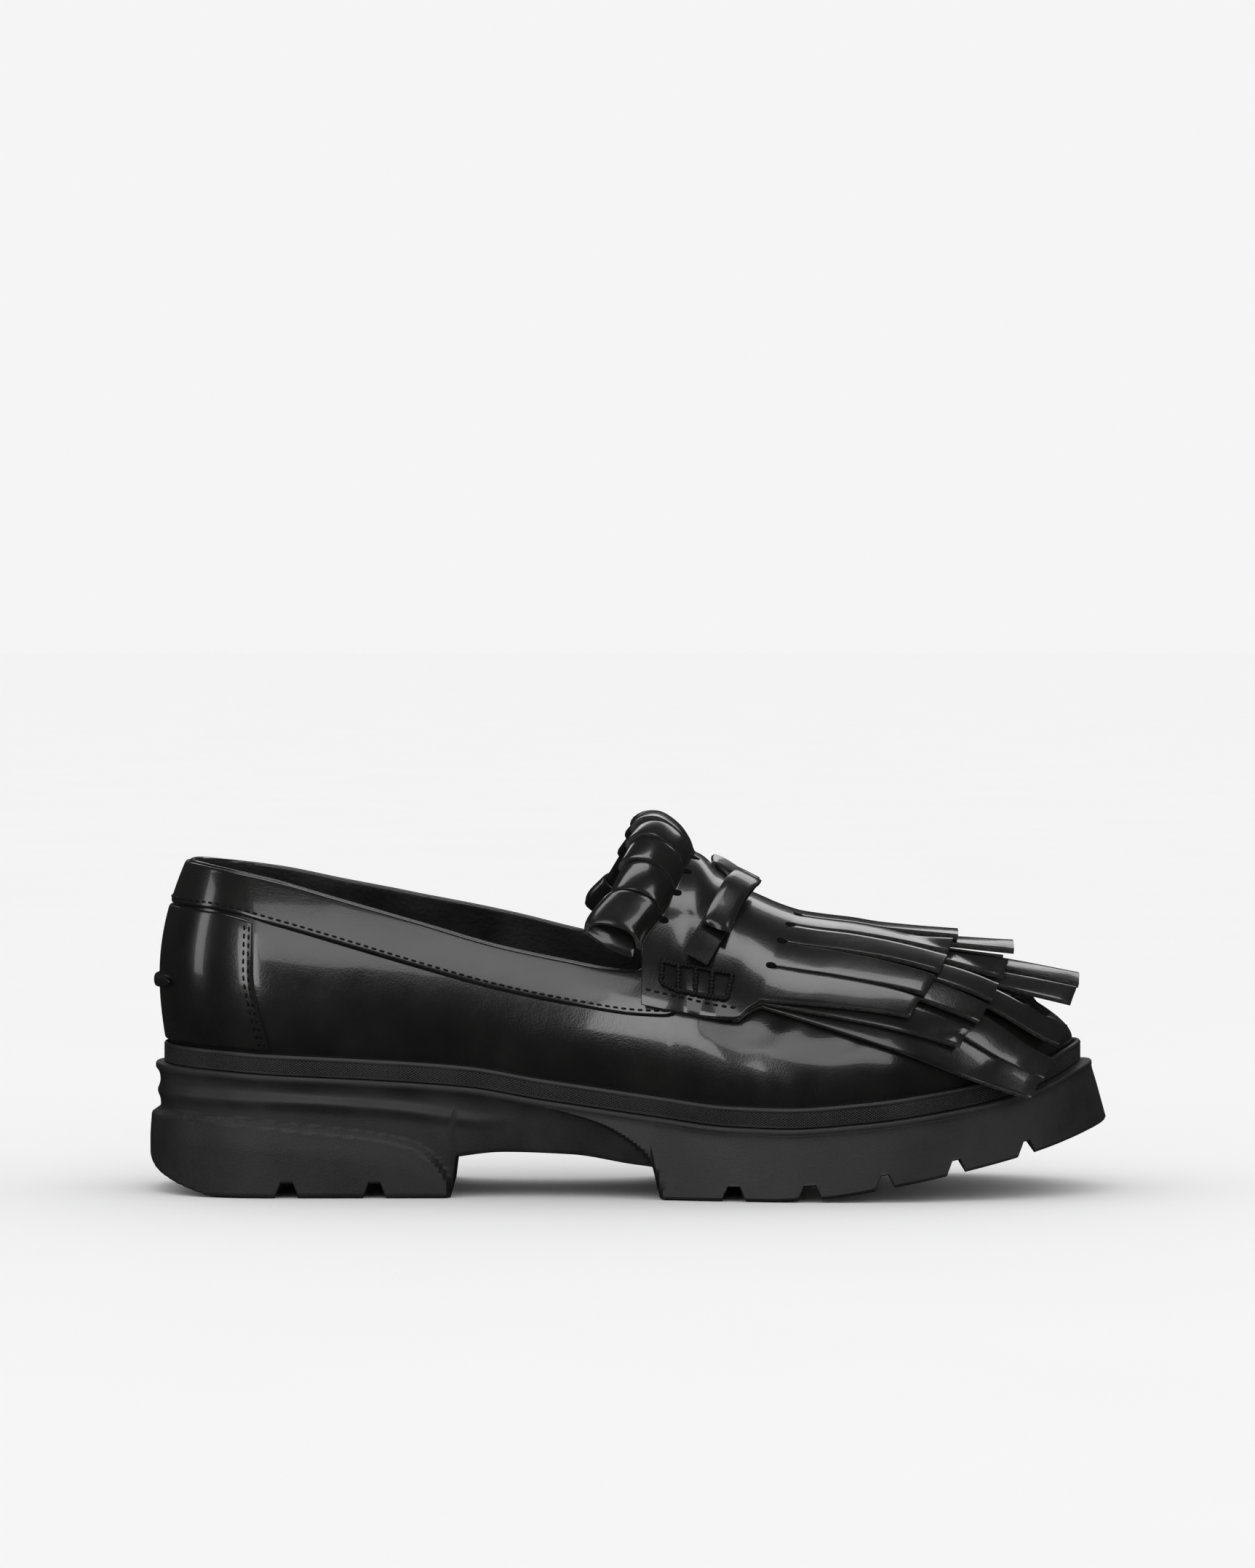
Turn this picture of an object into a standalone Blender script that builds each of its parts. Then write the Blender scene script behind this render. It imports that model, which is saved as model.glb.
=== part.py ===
"""Kiltie loafer, right shoe: a black leather loafer on a chunky rubber unit sole.

Metres, +Z up, +X towards the toe, +Y towards the inner side of the foot, floor at z = 0.
Every piece is worked out from the sizes below and from one plan outline, the sole's flange.
"""

import math

import bpy
import numpy as np

# Sole sizes
LENGTH = 0.3045
BALL_WIDTH = 0.108
WAIST_WIDTH = 0.076
HEEL_WIDTH = 0.077
HEEL_SEAT = 0.0405
BALL_SEAT = 0.0223
TOE_SEAT = 0.0411
TOE_SPRING = 0.0235
ARCH_HEIGHT = 0.0139
BLOCK_FLARE = 0.0018
TOE_FLARE = 0.0048
BALL_FLARE = 0.0018
FLANGE_LIP = 0.0018
SIDE_RECESS = 0.0012
PANEL_BLEND = 0.0050
LUG_DEPTH = 0.0043
LUG_GAP = 0.0072
LUG_SLOPE = 0.0017
TREAD_EDGE = 0.0010
HEEL_BEVEL_RUN = 0.016
HEEL_BEVEL_RISE = 0.013

# Upper sizes
HEEL_BACK_HEIGHT = 0.1044
INSTEP_HEIGHT = 0.1020
LEATHER = 0.0020
WELT_HEIGHT = 0.0064
WELT_INSET = 0.0027
UPPER_INSET = 0.0046
TOE_EXTRA_INSET = 0.0018
INSOLE_THICKNESS = 0.0030
BAND_THICKNESS = 0.0009
COUNTER_THICKNESS = 0.0007
TAB_THICKNESS = 0.0013
GAP = 0.0003
SOFT_GAP = 0.0004

BACK = -LENGTH / 2
FRONT = LENGTH / 2
FLANGE_BACK = BACK + BLOCK_FLARE
FLANGE_FRONT = FRONT - TOE_FLARE
HEEL_PIVOT = BACK + 0.105 * LENGTH
TOE_PIVOT = FRONT - 0.150 * LENGTH
MIDDLE_STATIONS = 22
LATERAL = -1
MEDIAL = 1

# Plan of the flange, before its ends are rounded: share of the length, half width outside, inside
OUTLINE = (
    (0.00, 0.500 * HEEL_WIDTH, 0.490 * HEEL_WIDTH),
    (0.15, 0.510 * HEEL_WIDTH, 0.495 * HEEL_WIDTH),
    (0.30, 0.505 * HEEL_WIDTH, 0.475 * HEEL_WIDTH),
    (0.42, 0.530 * WAIST_WIDTH, 0.455 * WAIST_WIDTH),
    (0.50, 0.570 * WAIST_WIDTH, 0.475 * WAIST_WIDTH),
    (0.60, 0.463 * BALL_WIDTH, 0.410 * BALL_WIDTH),
    (0.68, 0.500 * BALL_WIDTH, 0.463 * BALL_WIDTH),
    (0.75, 0.505 * BALL_WIDTH, 0.490 * BALL_WIDTH),
    (0.83, 0.482 * BALL_WIDTH, 0.484 * BALL_WIDTH),
    (0.92, 0.448 * BALL_WIDTH, 0.462 * BALL_WIDTH),
    (1.00, 0.400 * BALL_WIDTH, 0.415 * BALL_WIDTH),
)
HEEL_ROUND = 0.13
TOE_ROUND = 0.22
HEEL_ROUND_POWER = 2.3
TOE_ROUND_POWER = 2.2

# Top of the flange: share of the length, height
FLANGE_TOP = (
    (0.00, 1.000 * HEEL_SEAT),
    (0.07, 0.972 * HEEL_SEAT),
    (0.13, 0.941 * HEEL_SEAT),
    (0.24, 0.899 * HEEL_SEAT),
    (0.335, 0.847 * HEEL_SEAT),
    (0.405, 0.758 * HEEL_SEAT),
    (0.47, 1.247 * BALL_SEAT),
    (0.53, 1.135 * BALL_SEAT),
    (0.60, 1.022 * BALL_SEAT),
    (0.66, 1.000 * BALL_SEAT),
    (0.74, 1.076 * BALL_SEAT),
    (0.83, 0.674 * TOE_SEAT),
    (0.92, 0.815 * TOE_SEAT),
    (0.98, 0.985 * TOE_SEAT),
    (1.00, 1.020 * TOE_SEAT),
)

# Underside between the breasts and under the toe: share of the length, height
ARCH = (
    (0.310, 0.860 * ARCH_HEIGHT),
    (0.370, 1.000 * ARCH_HEIGHT),
    (0.440, 0.950 * ARCH_HEIGHT),
    (0.500, 0.750 * ARCH_HEIGHT),
    (0.540, 0.640 * ARCH_HEIGHT),
)
SPRING = (
    (0.650, 0.000 * TOE_SPRING),
    (0.700, 0.040 * TOE_SPRING),
    (0.770, 0.190 * TOE_SPRING),
    (0.840, 0.375 * TOE_SPRING),
    (0.915, 0.620 * TOE_SPRING),
    (1.000, 1.000 * TOE_SPRING),
)
HEEL_BREAST = 0.3170
HEEL_BREAST_TOP = 0.3225
BALL_BREAST_TOP = 0.5230
BALL_BREAST = 0.5285

# Grooves between the lugs: share of the length, share of the lug gap
LUG_GAPS = (
    (0.149, 1.00),
    (0.239, 0.97),
    (0.608, 1.00),
    (0.685, 1.00),
    (0.761, 0.80),
    (0.833, 0.80),
    (0.903, 0.72),
)

# Heel block and ball panel on the side of the sole: share of the length, height of their edge
BLOCK_TOP = (
    (0.00, 0.650 * HEEL_SEAT),
    (0.07, 0.625 * HEEL_SEAT),
    (0.17, 0.555 * HEEL_SEAT),
    (0.235, 0.500 * HEEL_SEAT),
    (0.277, 0.432 * HEEL_SEAT),
    (0.297, 0.338 * HEEL_SEAT),
    (0.307, 0.250 * HEEL_SEAT),
    (0.315, 0.130 * HEEL_SEAT),
    (0.318, 0.000 * HEEL_SEAT),
)
SIDE_RIDGE = (
    (0.00, 0.775 * HEEL_SEAT),
    (0.17, 0.725 * HEEL_SEAT),
    (0.26, 0.675 * HEEL_SEAT),
    (0.34, 0.590 * HEEL_SEAT),
)
PANEL_BACK = (
    (0.00 * HEEL_SEAT, 0.5290),
    (0.19 * HEEL_SEAT, 0.5240),
    (0.26 * HEEL_SEAT, 0.5200),
    (0.35 * HEEL_SEAT, 0.5120),
    (0.42 * HEEL_SEAT, 0.5010),
    (0.51 * HEEL_SEAT, 0.4830),
    (0.58 * HEEL_SEAT, 0.4640),
    (0.70 * HEEL_SEAT, 0.4100),
)

# Rings of the sole's side between lip and tread: share of the drop at the heel, in front
SIDE_RINGS = (
    (0.11, 0.13),
    (0.22, 0.27),
    (0.30, 0.42),
    (0.375, 0.58),
    (0.44, 0.76),
    (1.00, 1.00),
)

# Last: share of the length, height of the ridge, fullness, bulge, share of the rise it fills
LAST = (
    (0.00, 1.48 * INSTEP_HEIGHT, 1.45, 0.0290 * BALL_WIDTH, 0.56),
    (0.12, 1.38 * INSTEP_HEIGHT, 1.20, 0.0260 * BALL_WIDTH, 0.56),
    (0.33, 1.20 * INSTEP_HEIGHT, 1.00, 0.0180 * BALL_WIDTH, 0.60),
    (0.48, 1.06 * INSTEP_HEIGHT, 0.94, 0.0240 * BALL_WIDTH, 0.66),
    (0.54, 1.015 * INSTEP_HEIGHT, 0.94, 0.0280 * BALL_WIDTH, 0.72),
    (0.565, 1.000 * INSTEP_HEIGHT, 0.94, 0.0280 * BALL_WIDTH, 0.75),
    (0.585, 0.946 * INSTEP_HEIGHT, 0.94, 0.0280 * BALL_WIDTH, 0.80),
    (0.615, 0.870 * INSTEP_HEIGHT, 0.94, 0.0260 * BALL_WIDTH, 0.85),
    (0.645, 0.823 * INSTEP_HEIGHT, 0.93, 0.0240 * BALL_WIDTH, 0.90),
    (0.680, 0.789 * INSTEP_HEIGHT, 0.92, 0.0220 * BALL_WIDTH, 0.90),
    (0.760, 0.742 * INSTEP_HEIGHT, 0.90, 0.0180 * BALL_WIDTH, 0.90),
    (0.840, 0.682 * INSTEP_HEIGHT, 0.88, 0.0100 * BALL_WIDTH, 0.90),
    (0.920, 0.618 * INSTEP_HEIGHT, 0.86, 0.0040 * BALL_WIDTH, 0.90),
    (1.000, 0.545 * INSTEP_HEIGHT, 0.85, 0.0020 * BALL_WIDTH, 0.90),
)
RIDGE_SKEW = (
    (0.00, 0.000 * BALL_WIDTH),
    (0.35, 0.010 * BALL_WIDTH),
    (0.60, 0.035 * BALL_WIDTH),
    (0.85, 0.010 * BALL_WIDTH),
    (1.00, 0.000 * BALL_WIDTH),
)

# Topline: share of the length, height outside, height inside
TOPLINE = (
    (0.000, 1.000 * HEEL_BACK_HEIGHT, 1.000 * HEEL_BACK_HEIGHT),
    (0.040, 0.996 * HEEL_BACK_HEIGHT, 0.998 * HEEL_BACK_HEIGHT),
    (0.075, 0.980 * HEEL_BACK_HEIGHT, 0.986 * HEEL_BACK_HEIGHT),
    (0.135, 0.943 * HEEL_BACK_HEIGHT, 0.963 * HEEL_BACK_HEIGHT),
    (0.195, 0.893 * HEEL_BACK_HEIGHT, 0.928 * HEEL_BACK_HEIGHT),
    (0.280, 0.822 * HEEL_BACK_HEIGHT, 0.880 * HEEL_BACK_HEIGHT),
    (0.365, 0.750 * HEEL_BACK_HEIGHT, 0.831 * HEEL_BACK_HEIGHT),
    (0.440, 0.704 * HEEL_BACK_HEIGHT, 0.779 * HEEL_BACK_HEIGHT),
    (0.485, 0.680 * HEEL_BACK_HEIGHT, 0.748 * HEEL_BACK_HEIGHT),
    (0.510, 0.675 * HEEL_BACK_HEIGHT, 0.740 * HEEL_BACK_HEIGHT),
    (0.520, 0.710 * HEEL_BACK_HEIGHT, 0.765 * HEEL_BACK_HEIGHT),
    (0.532, 0.820 * HEEL_BACK_HEIGHT, 0.850 * HEEL_BACK_HEIGHT),
    (0.541, 0.940 * HEEL_BACK_HEIGHT, 0.950 * HEEL_BACK_HEIGHT),
    (0.549, 1.200 * HEEL_BACK_HEIGHT, 1.200 * HEEL_BACK_HEIGHT),
)

# Collar band: share of the length, height of its lower edge outside, inside
BAND_LOW = (
    (0.000, 0.875 * HEEL_BACK_HEIGHT, 0.875 * HEEL_BACK_HEIGHT),
    (0.075, 0.857 * HEEL_BACK_HEIGHT, 0.862 * HEEL_BACK_HEIGHT),
    (0.135, 0.812 * HEEL_BACK_HEIGHT, 0.832 * HEEL_BACK_HEIGHT),
    (0.195, 0.762 * HEEL_BACK_HEIGHT, 0.795 * HEEL_BACK_HEIGHT),
    (0.280, 0.688 * HEEL_BACK_HEIGHT, 0.746 * HEEL_BACK_HEIGHT),
    (0.365, 0.620 * HEEL_BACK_HEIGHT, 0.700 * HEEL_BACK_HEIGHT),
    (0.440, 0.575 * HEEL_BACK_HEIGHT, 0.655 * HEEL_BACK_HEIGHT),
    (0.510, 0.545 * HEEL_BACK_HEIGHT, 0.615 * HEEL_BACK_HEIGHT),
    (0.560, 0.540 * HEEL_BACK_HEIGHT, 0.600 * HEEL_BACK_HEIGHT),
)
BAND_ROUND = 0.535
BAND_END = 0.557
THROAT_SIDE = 0.510

# Front edge of the heel counter: share of the way up, share of the length
COUNTER_FRONT = (
    (0.0, 0.131),
    (0.3, 0.119),
    (0.6, 0.112),
    (1.0, 0.113),
)
COUNTER_FOOT = 0.008
COUNTER_GAP = 0.0007
TAB_LOW = 0.618 * HEEL_BACK_HEIGHT
TAB_HIGH = 0.655 * HEEL_BACK_HEIGHT
TAB_REACH = 0.47

# Kiltie sizes
KILTIE_LEATHER = 0.0016
KILTIE_GAP = 0.0008
KILTIE_SEAT = 0.0009
STRIP_AIR = 0.0012
STRIPS = 5
STRIP_STEPS = 5
STRIP_GAP = 0.06
STRIP_HOLD = 0.40
STRIP_STRAIGHT = 1.15
SADDLE_ROWS = 4
ROW_CROWDING = 1.35
LAYER_RAMP = 0.011
LAYER_TUCK = 0.009
CURL_TUCK = 0.0040
SLOPE_RUN = 0.0040
CURL_EDGE = 0.80
CURL_SPLIT = 0.0004
LOOP_LENGTH = 0.0200
LOOP_HEIGHT = 0.0134
LOOP_LEAN = 0.50
INNER_LOOP_LIFT = 0.0060

# Lower edge of the saddle: share of the length, height
SADDLE_LOW = (
    (0.505, 0.590 * INSTEP_HEIGHT),
    (0.560, 0.560 * INSTEP_HEIGHT),
    (0.612, 0.538 * INSTEP_HEIGHT),
    (0.622, 0.560 * INSTEP_HEIGHT),
    (0.640, 0.580 * INSTEP_HEIGHT),
    (0.700, 0.560 * INSTEP_HEIGHT),
)

# Rows where the strips begin: share of the way down from the crest, share of the length
SLOT_ROW = (
    (0.0, 0.6735),
    (0.2, 0.6690),
    (0.4, 0.6600),
    (0.6, 0.6505),
    (0.8, 0.6400),
    (1.0, 0.6330),
)
CURL_ROW = (
    (0.00, 0.5650),
    (0.16, 0.5625),
    (0.32, 0.5555),
    (0.48, 0.5460),
    (0.64, 0.5330),
    (0.80, 0.5130),
    (1.00, 0.5130),
)

# Ends of the strips from the crest down, for the lower, middle and top layer: share of the
# length, of the ball width and of the instep height, for the upper corner and the lower corner
FRINGE = {
    "lower": (
        (0.9716, 0.006, 0.6755, 0.9690, 0.093, 0.6373),
        (0.9670, 0.102, 0.6333, 0.9581, 0.185, 0.5794),
        (0.9555, 0.204, 0.5284, 0.9427, 0.287, 0.4627),
        (0.9384, 0.306, 0.4235, 0.9250, 0.380, 0.3569),
        (0.9243, 0.390, 0.3814, 0.9099, 0.460, 0.3108),
    ),
    "middle": (
        (0.9023, 0.006, 0.7755, 0.9013, 0.102, 0.7450),
        (0.8954, 0.111, 0.7206, 0.8875, 0.194, 0.6637),
        (0.8803, 0.213, 0.6294, 0.8688, 0.296, 0.5716),
        (0.8658, 0.306, 0.5696, 0.8553, 0.380, 0.5275),
        (0.8498, 0.398, 0.5167, 0.8379, 0.468, 0.4745),
    ),
    "top": (
        (0.8445, 0.006, 0.8080, 0.8432, 0.093, 0.7890),
        (0.8380, 0.102, 0.7850, 0.8300, 0.185, 0.7420),
        (0.8268, 0.194, 0.7020, 0.8146, 0.287, 0.6400),
        (0.8107, 0.296, 0.6290, 0.7979, 0.370, 0.5755),
        (0.7956, 0.384, 0.5890, 0.7841, 0.449, 0.5450),
    ),
}

# Curl of the loops behind the saddle: shares of loop length and height at the crest, at the side
LOOP = (
    (0.09, 0.32, 0.04, 0.22),
    (0.26, 0.68, 0.14, 0.45),
    (0.54, 0.97, 0.40, 0.64),
    (0.80, 0.98, 0.68, 0.71),
    (0.97, 0.80, 0.87, 0.63),
    (0.98, 0.55, 0.89, 0.43),
    (0.70, 0.25, 0.62, 0.10),
    (0.42, 0.11, 0.38, -0.10),
    (0.20, 0.02, 0.17, -0.24),
)
LOOP_SIZES = (1.00, 0.97, 0.94, 0.92, 0.98)

# Bow sizes
BOW_WIDTH = 0.0086
BOW_LEATHER = 0.0010
KNOT_LENGTH = 0.0130
KNOT_HEIGHT = 0.0020
KNOT_PLACE = 0.5910
KNOT_STEPS = 14

# Routes of the bow's ribbon: share of the length, share of the way down the side, height over it
BOW_LOOP = (
    (0.6010, 0.15, 5.4 * BOW_LEATHER),
    (0.5960, 0.26, 7.1 * BOW_LEATHER),
    (0.5870, 0.43, 7.4 * BOW_LEATHER),
    (0.5790, 0.60, 6.2 * BOW_LEATHER),
    (0.5770, 0.67, 4.6 * BOW_LEATHER),
    (0.5800, 0.63, 3.3 * BOW_LEATHER),
    (0.5880, 0.46, 2.8 * BOW_LEATHER),
    (0.5970, 0.27, 2.7 * BOW_LEATHER),
    (0.6010, 0.15, 3.4 * BOW_LEATHER),
)
BOW_TAIL = (
    (0.5990, 0.15, 0.9 * BOW_LEATHER),
    (0.5930, 0.32, 1.0 * BOW_LEATHER),
    (0.5850, 0.50, 1.3 * BOW_LEATHER),
    (0.5750, 0.66, 1.7 * BOW_LEATHER),
    (0.5650, 0.81, 2.6 * BOW_LEATHER),
)


def through(rows, column, at):
    """A smooth curve with no overshoot through one column of a table, read at some places."""
    places = np.array([row[0] for row in rows])
    values = np.array([row[column] for row in rows])
    gaps = np.diff(places)
    slopes = np.diff(values) / gaps
    product = slopes[:-1] * slopes[1:]
    total = np.where(product > 0, slopes[:-1] + slopes[1:], 1)
    inner = np.where(product > 0, 2 * product / total, 0)
    tangents = np.concatenate([slopes[:1], inner, slopes[-1:]])
    at = np.clip(at, places[0], places[-1])
    span = np.clip(np.searchsorted(places, at, side="right") - 1, 0, len(gaps) - 1)
    part = (at - places[span]) / gaps[span]
    start = values[span] * (1 + 2 * part) * (1 - part) ** 2
    end = values[span + 1] * (3 - 2 * part) * part**2
    lean = gaps[span] * (tangents[span] * (1 - part) - tangents[span + 1] * part)
    return start + end + lean * part * (1 - part)


def share(x):
    """Share of the length at which a place lies, from the back of the heel."""
    return (np.asarray(x, float) - BACK) / LENGTH


def place(part_of_length):
    return BACK + part_of_length * LENGTH


def ease(value, start, end):
    """0 before start, 1 after end, and smooth between."""
    part = np.clip((value - start) / (end - start), 0, 1)
    return part * part * (3 - 2 * part)


def dense_side(side):
    """Close points along one side of the flange, from the back of the heel to the toe tip."""
    steps = np.linspace(0, math.pi, 900)
    x = FLANGE_BACK + (FLANGE_FRONT - FLANGE_BACK) * (1 - np.cos(steps)) / 2
    half = through(OUTLINE, 1 if side == LATERAL else 2, share(x))
    heel_round = HEEL_ROUND * LENGTH
    toe_round = TOE_ROUND * LENGTH
    behind = np.clip(1 - (x - FLANGE_BACK) / heel_round, 0, 1)
    ahead = np.clip(1 - (FLANGE_FRONT - x) / toe_round, 0, 1)
    half = half * (1 - behind**HEEL_ROUND_POWER) ** (1 / HEEL_ROUND_POWER)
    half = half * (1 - ahead**TOE_ROUND_POWER) ** (1 / TOE_ROUND_POWER)
    return np.column_stack([x, side * half])


def outward(points, side):
    """Outward normals of one side of a plan outline."""
    tangent = np.gradient(points, axis=0)
    normal = np.column_stack([tangent[:, 1], -tangent[:, 0]]) * -side
    normal = normal / np.linalg.norm(normal, axis=1)[:, None]
    normal[0] = (-1, 0)
    normal[-1] = (1, 0)
    return normal


DENSE = {side: dense_side(side) for side in (LATERAL, MEDIAL)}
NORMALS = {side: outward(DENSE[side], side) for side in (LATERAL, MEDIAL)}


def station_of(points):
    """0 to 1 turns round the heel, 1 to 2 runs along the shoe, 2 to 3 turns round the toe."""
    x = points[:, 0]
    y = np.abs(points[:, 1])
    heel = np.arctan2(y, HEEL_PIVOT - x) / (math.pi / 2)
    middle = 1 + (x - HEEL_PIVOT) / (TOE_PIVOT - HEEL_PIVOT)
    toe = 3 - np.arctan2(y, x - TOE_PIVOT) / (math.pi / 2)
    return np.where(x < HEEL_PIVOT, heel, np.where(x > TOE_PIVOT, toe, middle))


STATIONS = {side: station_of(DENSE[side]) for side in (LATERAL, MEDIAL)}


def plan(side, station, offset):
    """Plan point at a station of the flange, moved outward by an offset."""
    known = STATIONS[side]
    x = np.interp(station, known, DENSE[side][:, 0])
    y = np.interp(station, known, DENSE[side][:, 1])
    along = np.interp(station, known, NORMALS[side][:, 0])
    across = np.interp(station, known, NORMALS[side][:, 1])
    return x + along * offset, y + across * offset


def station_at(x):
    """Station whose flange point on the outer side lies at x."""
    return float(np.interp(x, DENSE[LATERAL][:, 0], STATIONS[LATERAL]))


def flange_top(x):
    return through(FLANGE_TOP, 1, share(x))


def tread(x):
    """Height of the underside, without the grooves between the lugs."""
    where = share(x)
    arch = through(ARCH, 1, where)
    spring = through(SPRING, 1, where)
    into_arch = np.clip((where - HEEL_BREAST) / (HEEL_BREAST_TOP - HEEL_BREAST), 0, 1)
    out_of_arch = np.clip((BALL_BREAST - where) / (BALL_BREAST - BALL_BREAST_TOP), 0, 1)
    return arch * into_arch * out_of_arch + spring


def upper_inset(x):
    return UPPER_INSET + TOE_EXTRA_INSET * ease(share(x), 0.6, 1.0)


def sole_offset(x, z):
    """How far the sole's side stands out from the flange's outline at a place and height."""
    where = share(x)
    below_lip = flange_top(x) - z
    depth = np.clip(below_lip / np.maximum(flange_top(x) - tread(x), 1e-4), 0, 1)
    arch_side = -SIDE_RECESS - 2.6 * SIDE_RECESS * depth
    heel_zone = 1 - ease(where, 0.29, 0.40)
    ridge = np.exp(-(((z - through(SIDE_RIDGE, 1, where)) / (1.6 * SIDE_RECESS)) ** 2))
    heel_side = -1.3 * SIDE_RECESS + 0.8 * SIDE_RECESS * ridge
    side = arch_side * (1 - heel_zone) + heel_side * heel_zone
    block_edge = through(BLOCK_TOP, 1, where)
    block = np.clip((block_edge - z) / (1.7 * SIDE_RECESS), 0, 1) * (where < BLOCK_TOP[-1][0])
    flare = BLOCK_FLARE * (0.7 + 0.3 * ease(block_edge - z, 0, 0.25 * HEEL_SEAT))
    side = side + (flare - side) * block
    panel_back = place(through(PANEL_BACK, 1, z))
    panel = ease(x, panel_back, panel_back + PANEL_BLEND)
    lean = BALL_FLARE + (TOE_FLARE - BALL_FLARE) * ease(where, 0.80, 1.0)
    panel_side = -0.4 * SIDE_RECESS + (lean + 0.4 * SIDE_RECESS) * depth
    return side + (panel_side - side) * panel


def heel_bevel(x, z):
    """The back of the heel is cut off by a slope near the floor."""
    return np.maximum(x, BACK + HEEL_BEVEL_RUN * (1 - z / HEEL_BEVEL_RISE))


def groove(x):
    """1 in the grooves between the lugs, 0 on the lugs."""
    depth = np.zeros_like(x)
    for where, width in LUG_GAPS:
        half = width * LUG_GAP / 2
        depth = np.maximum(depth, np.clip((half - np.abs(x - place(where))) / LUG_SLOPE, 0, 1))
    return depth


def new_object(name, points, faces, material, solidify=0.0, side=-1):
    """Mesh object from points and faces; an open sheet gets a thickness from Solidify."""
    mesh = bpy.data.meshes.new(name)
    mesh.from_pydata([tuple(point) for point in points], [], faces)
    mesh.validate()
    mesh.materials.append(material)
    shoe = bpy.data.objects.new(name, mesh)
    COLLECTION.objects.link(shoe)
    mesh.shade_smooth()
    mesh.set_sharp_from_angle(angle=math.radians(40))
    if solidify:
        shell = shoe.modifiers.new("Thickness", "SOLIDIFY")
        shell.thickness = solidify
        shell.offset = side
        shell.use_even_offset = True
        shell.use_quality_normals = True
    return shoe


def ring_faces(rings, count):
    """Quads between closed rings of count points each, listed one ring after another."""
    faces = []
    for ring in range(rings - 1):
        for index in range(count):
            following = (index + 1) % count
            low = ring * count
            high = low + count
            faces.append((low + index, high + index, high + following, low + following))
    return faces


def loop_of(stations, offset, height):
    """Closed ring of points round the shoe: outer side heel to toe, then inner side back."""
    ring = []
    for side in (LATERAL, MEDIAL):
        used = stations if side == LATERAL else stations[-2:0:-1]
        flange_x, _ = plan(side, used, 0.0)
        x, y = plan(side, used, offset(flange_x))
        ring.append(np.column_stack([x, y, height(flange_x, x)]))
    return np.vstack(ring)


def cap_faces(start, count, stations_count, turned):
    """Quads straight across a ring, between the stations of its two sides."""
    faces = []
    last = stations_count - 1
    for index in range(last):
        near = [start + index, start + index + 1]
        far = [start + (count - index - 1) % count, start + (count - index) % count]
        corners = [near[0], near[1], far[0], far[1]]
        kept = []
        for corner in corners:
            if corner not in kept:
                kept.append(corner)
        faces.append(tuple(kept if turned else kept[::-1]))
    return faces


def base_stations():
    heel = np.linspace(0, 1, 7)
    middle = 1 + np.linspace(0, 1, MIDDLE_STATIONS)[1:]
    toe = 2 + np.linspace(0, 1, 9)[1:]
    return np.concatenate([heel, middle, toe])


def sole_stations():
    """Stations of the sole: regular ones, and one at each edge of a groove or breast."""
    edges = []
    for where, width in LUG_GAPS:
        half = width * LUG_GAP / 2
        for x in (-half, -half + LUG_SLOPE, half - LUG_SLOPE, half):
            edges.append(station_at(place(where) + x))
    for where in (HEEL_BREAST, HEEL_BREAST_TOP, BALL_BREAST_TOP, BALL_BREAST):
        edges.append(station_at(place(where)))
    edges = np.array(edges)
    apart = 0.35 / MIDDLE_STATIONS
    kept = [s for s in base_stations() if s in (0, 3) or np.abs(edges - s).min() > apart]
    return np.unique(np.concatenate([kept, edges]))


def build_outsole():
    stations = sole_stations()
    count = 2 * len(stations) - 2
    rings = []
    lip = ((-0.6, 0.0), (0.0, 0.35), (0.0, 1.0), (-0.7, 1.5))
    for inward, drop in lip:
        rings.append(
            loop_of(
                stations,
                lambda x, inward=inward: np.full_like(x, inward * SIDE_RECESS),
                lambda x, _, drop=drop: flange_top(x) - drop * FLANGE_LIP,
            )
        )
    for at_heel, in_front in SIDE_RINGS:
        def height(x, at_heel=at_heel, in_front=in_front):
            part = at_heel + (in_front - at_heel) * ease(share(x), 0.30, 0.50)
            top = flange_top(x) - 1.5 * FLANGE_LIP
            low = tread(x) + LUG_DEPTH + 1.4 * TREAD_EDGE
            return top + (low - top) * part

        rings.append(
            loop_of(
                stations,
                lambda x, height=height: sole_offset(x, height(x)),
                lambda x, _, height=height: height(x),
            )
        )
    for inward, rise in ((0.0, TREAD_EDGE), (-TREAD_EDGE, 0.0)):
        def foot(x, rise=rise):
            return tread(x) + rise + LUG_DEPTH * groove(x)

        rings.append(
            loop_of(
                stations,
                lambda x, inward=inward: sole_offset(x, tread(x) + TREAD_EDGE) + inward,
                lambda x, _, foot=foot: foot(x),
            )
        )
    points = np.vstack(rings)
    points[:, 0] = heel_bevel(points[:, 0], points[:, 2])
    faces = ring_faces(len(rings), count)
    faces += cap_faces(0, count, len(stations), True)
    faces += cap_faces((len(rings) - 1) * count, count, len(stations), False)
    return new_object("outsole", points, faces, RUBBER)


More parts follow.
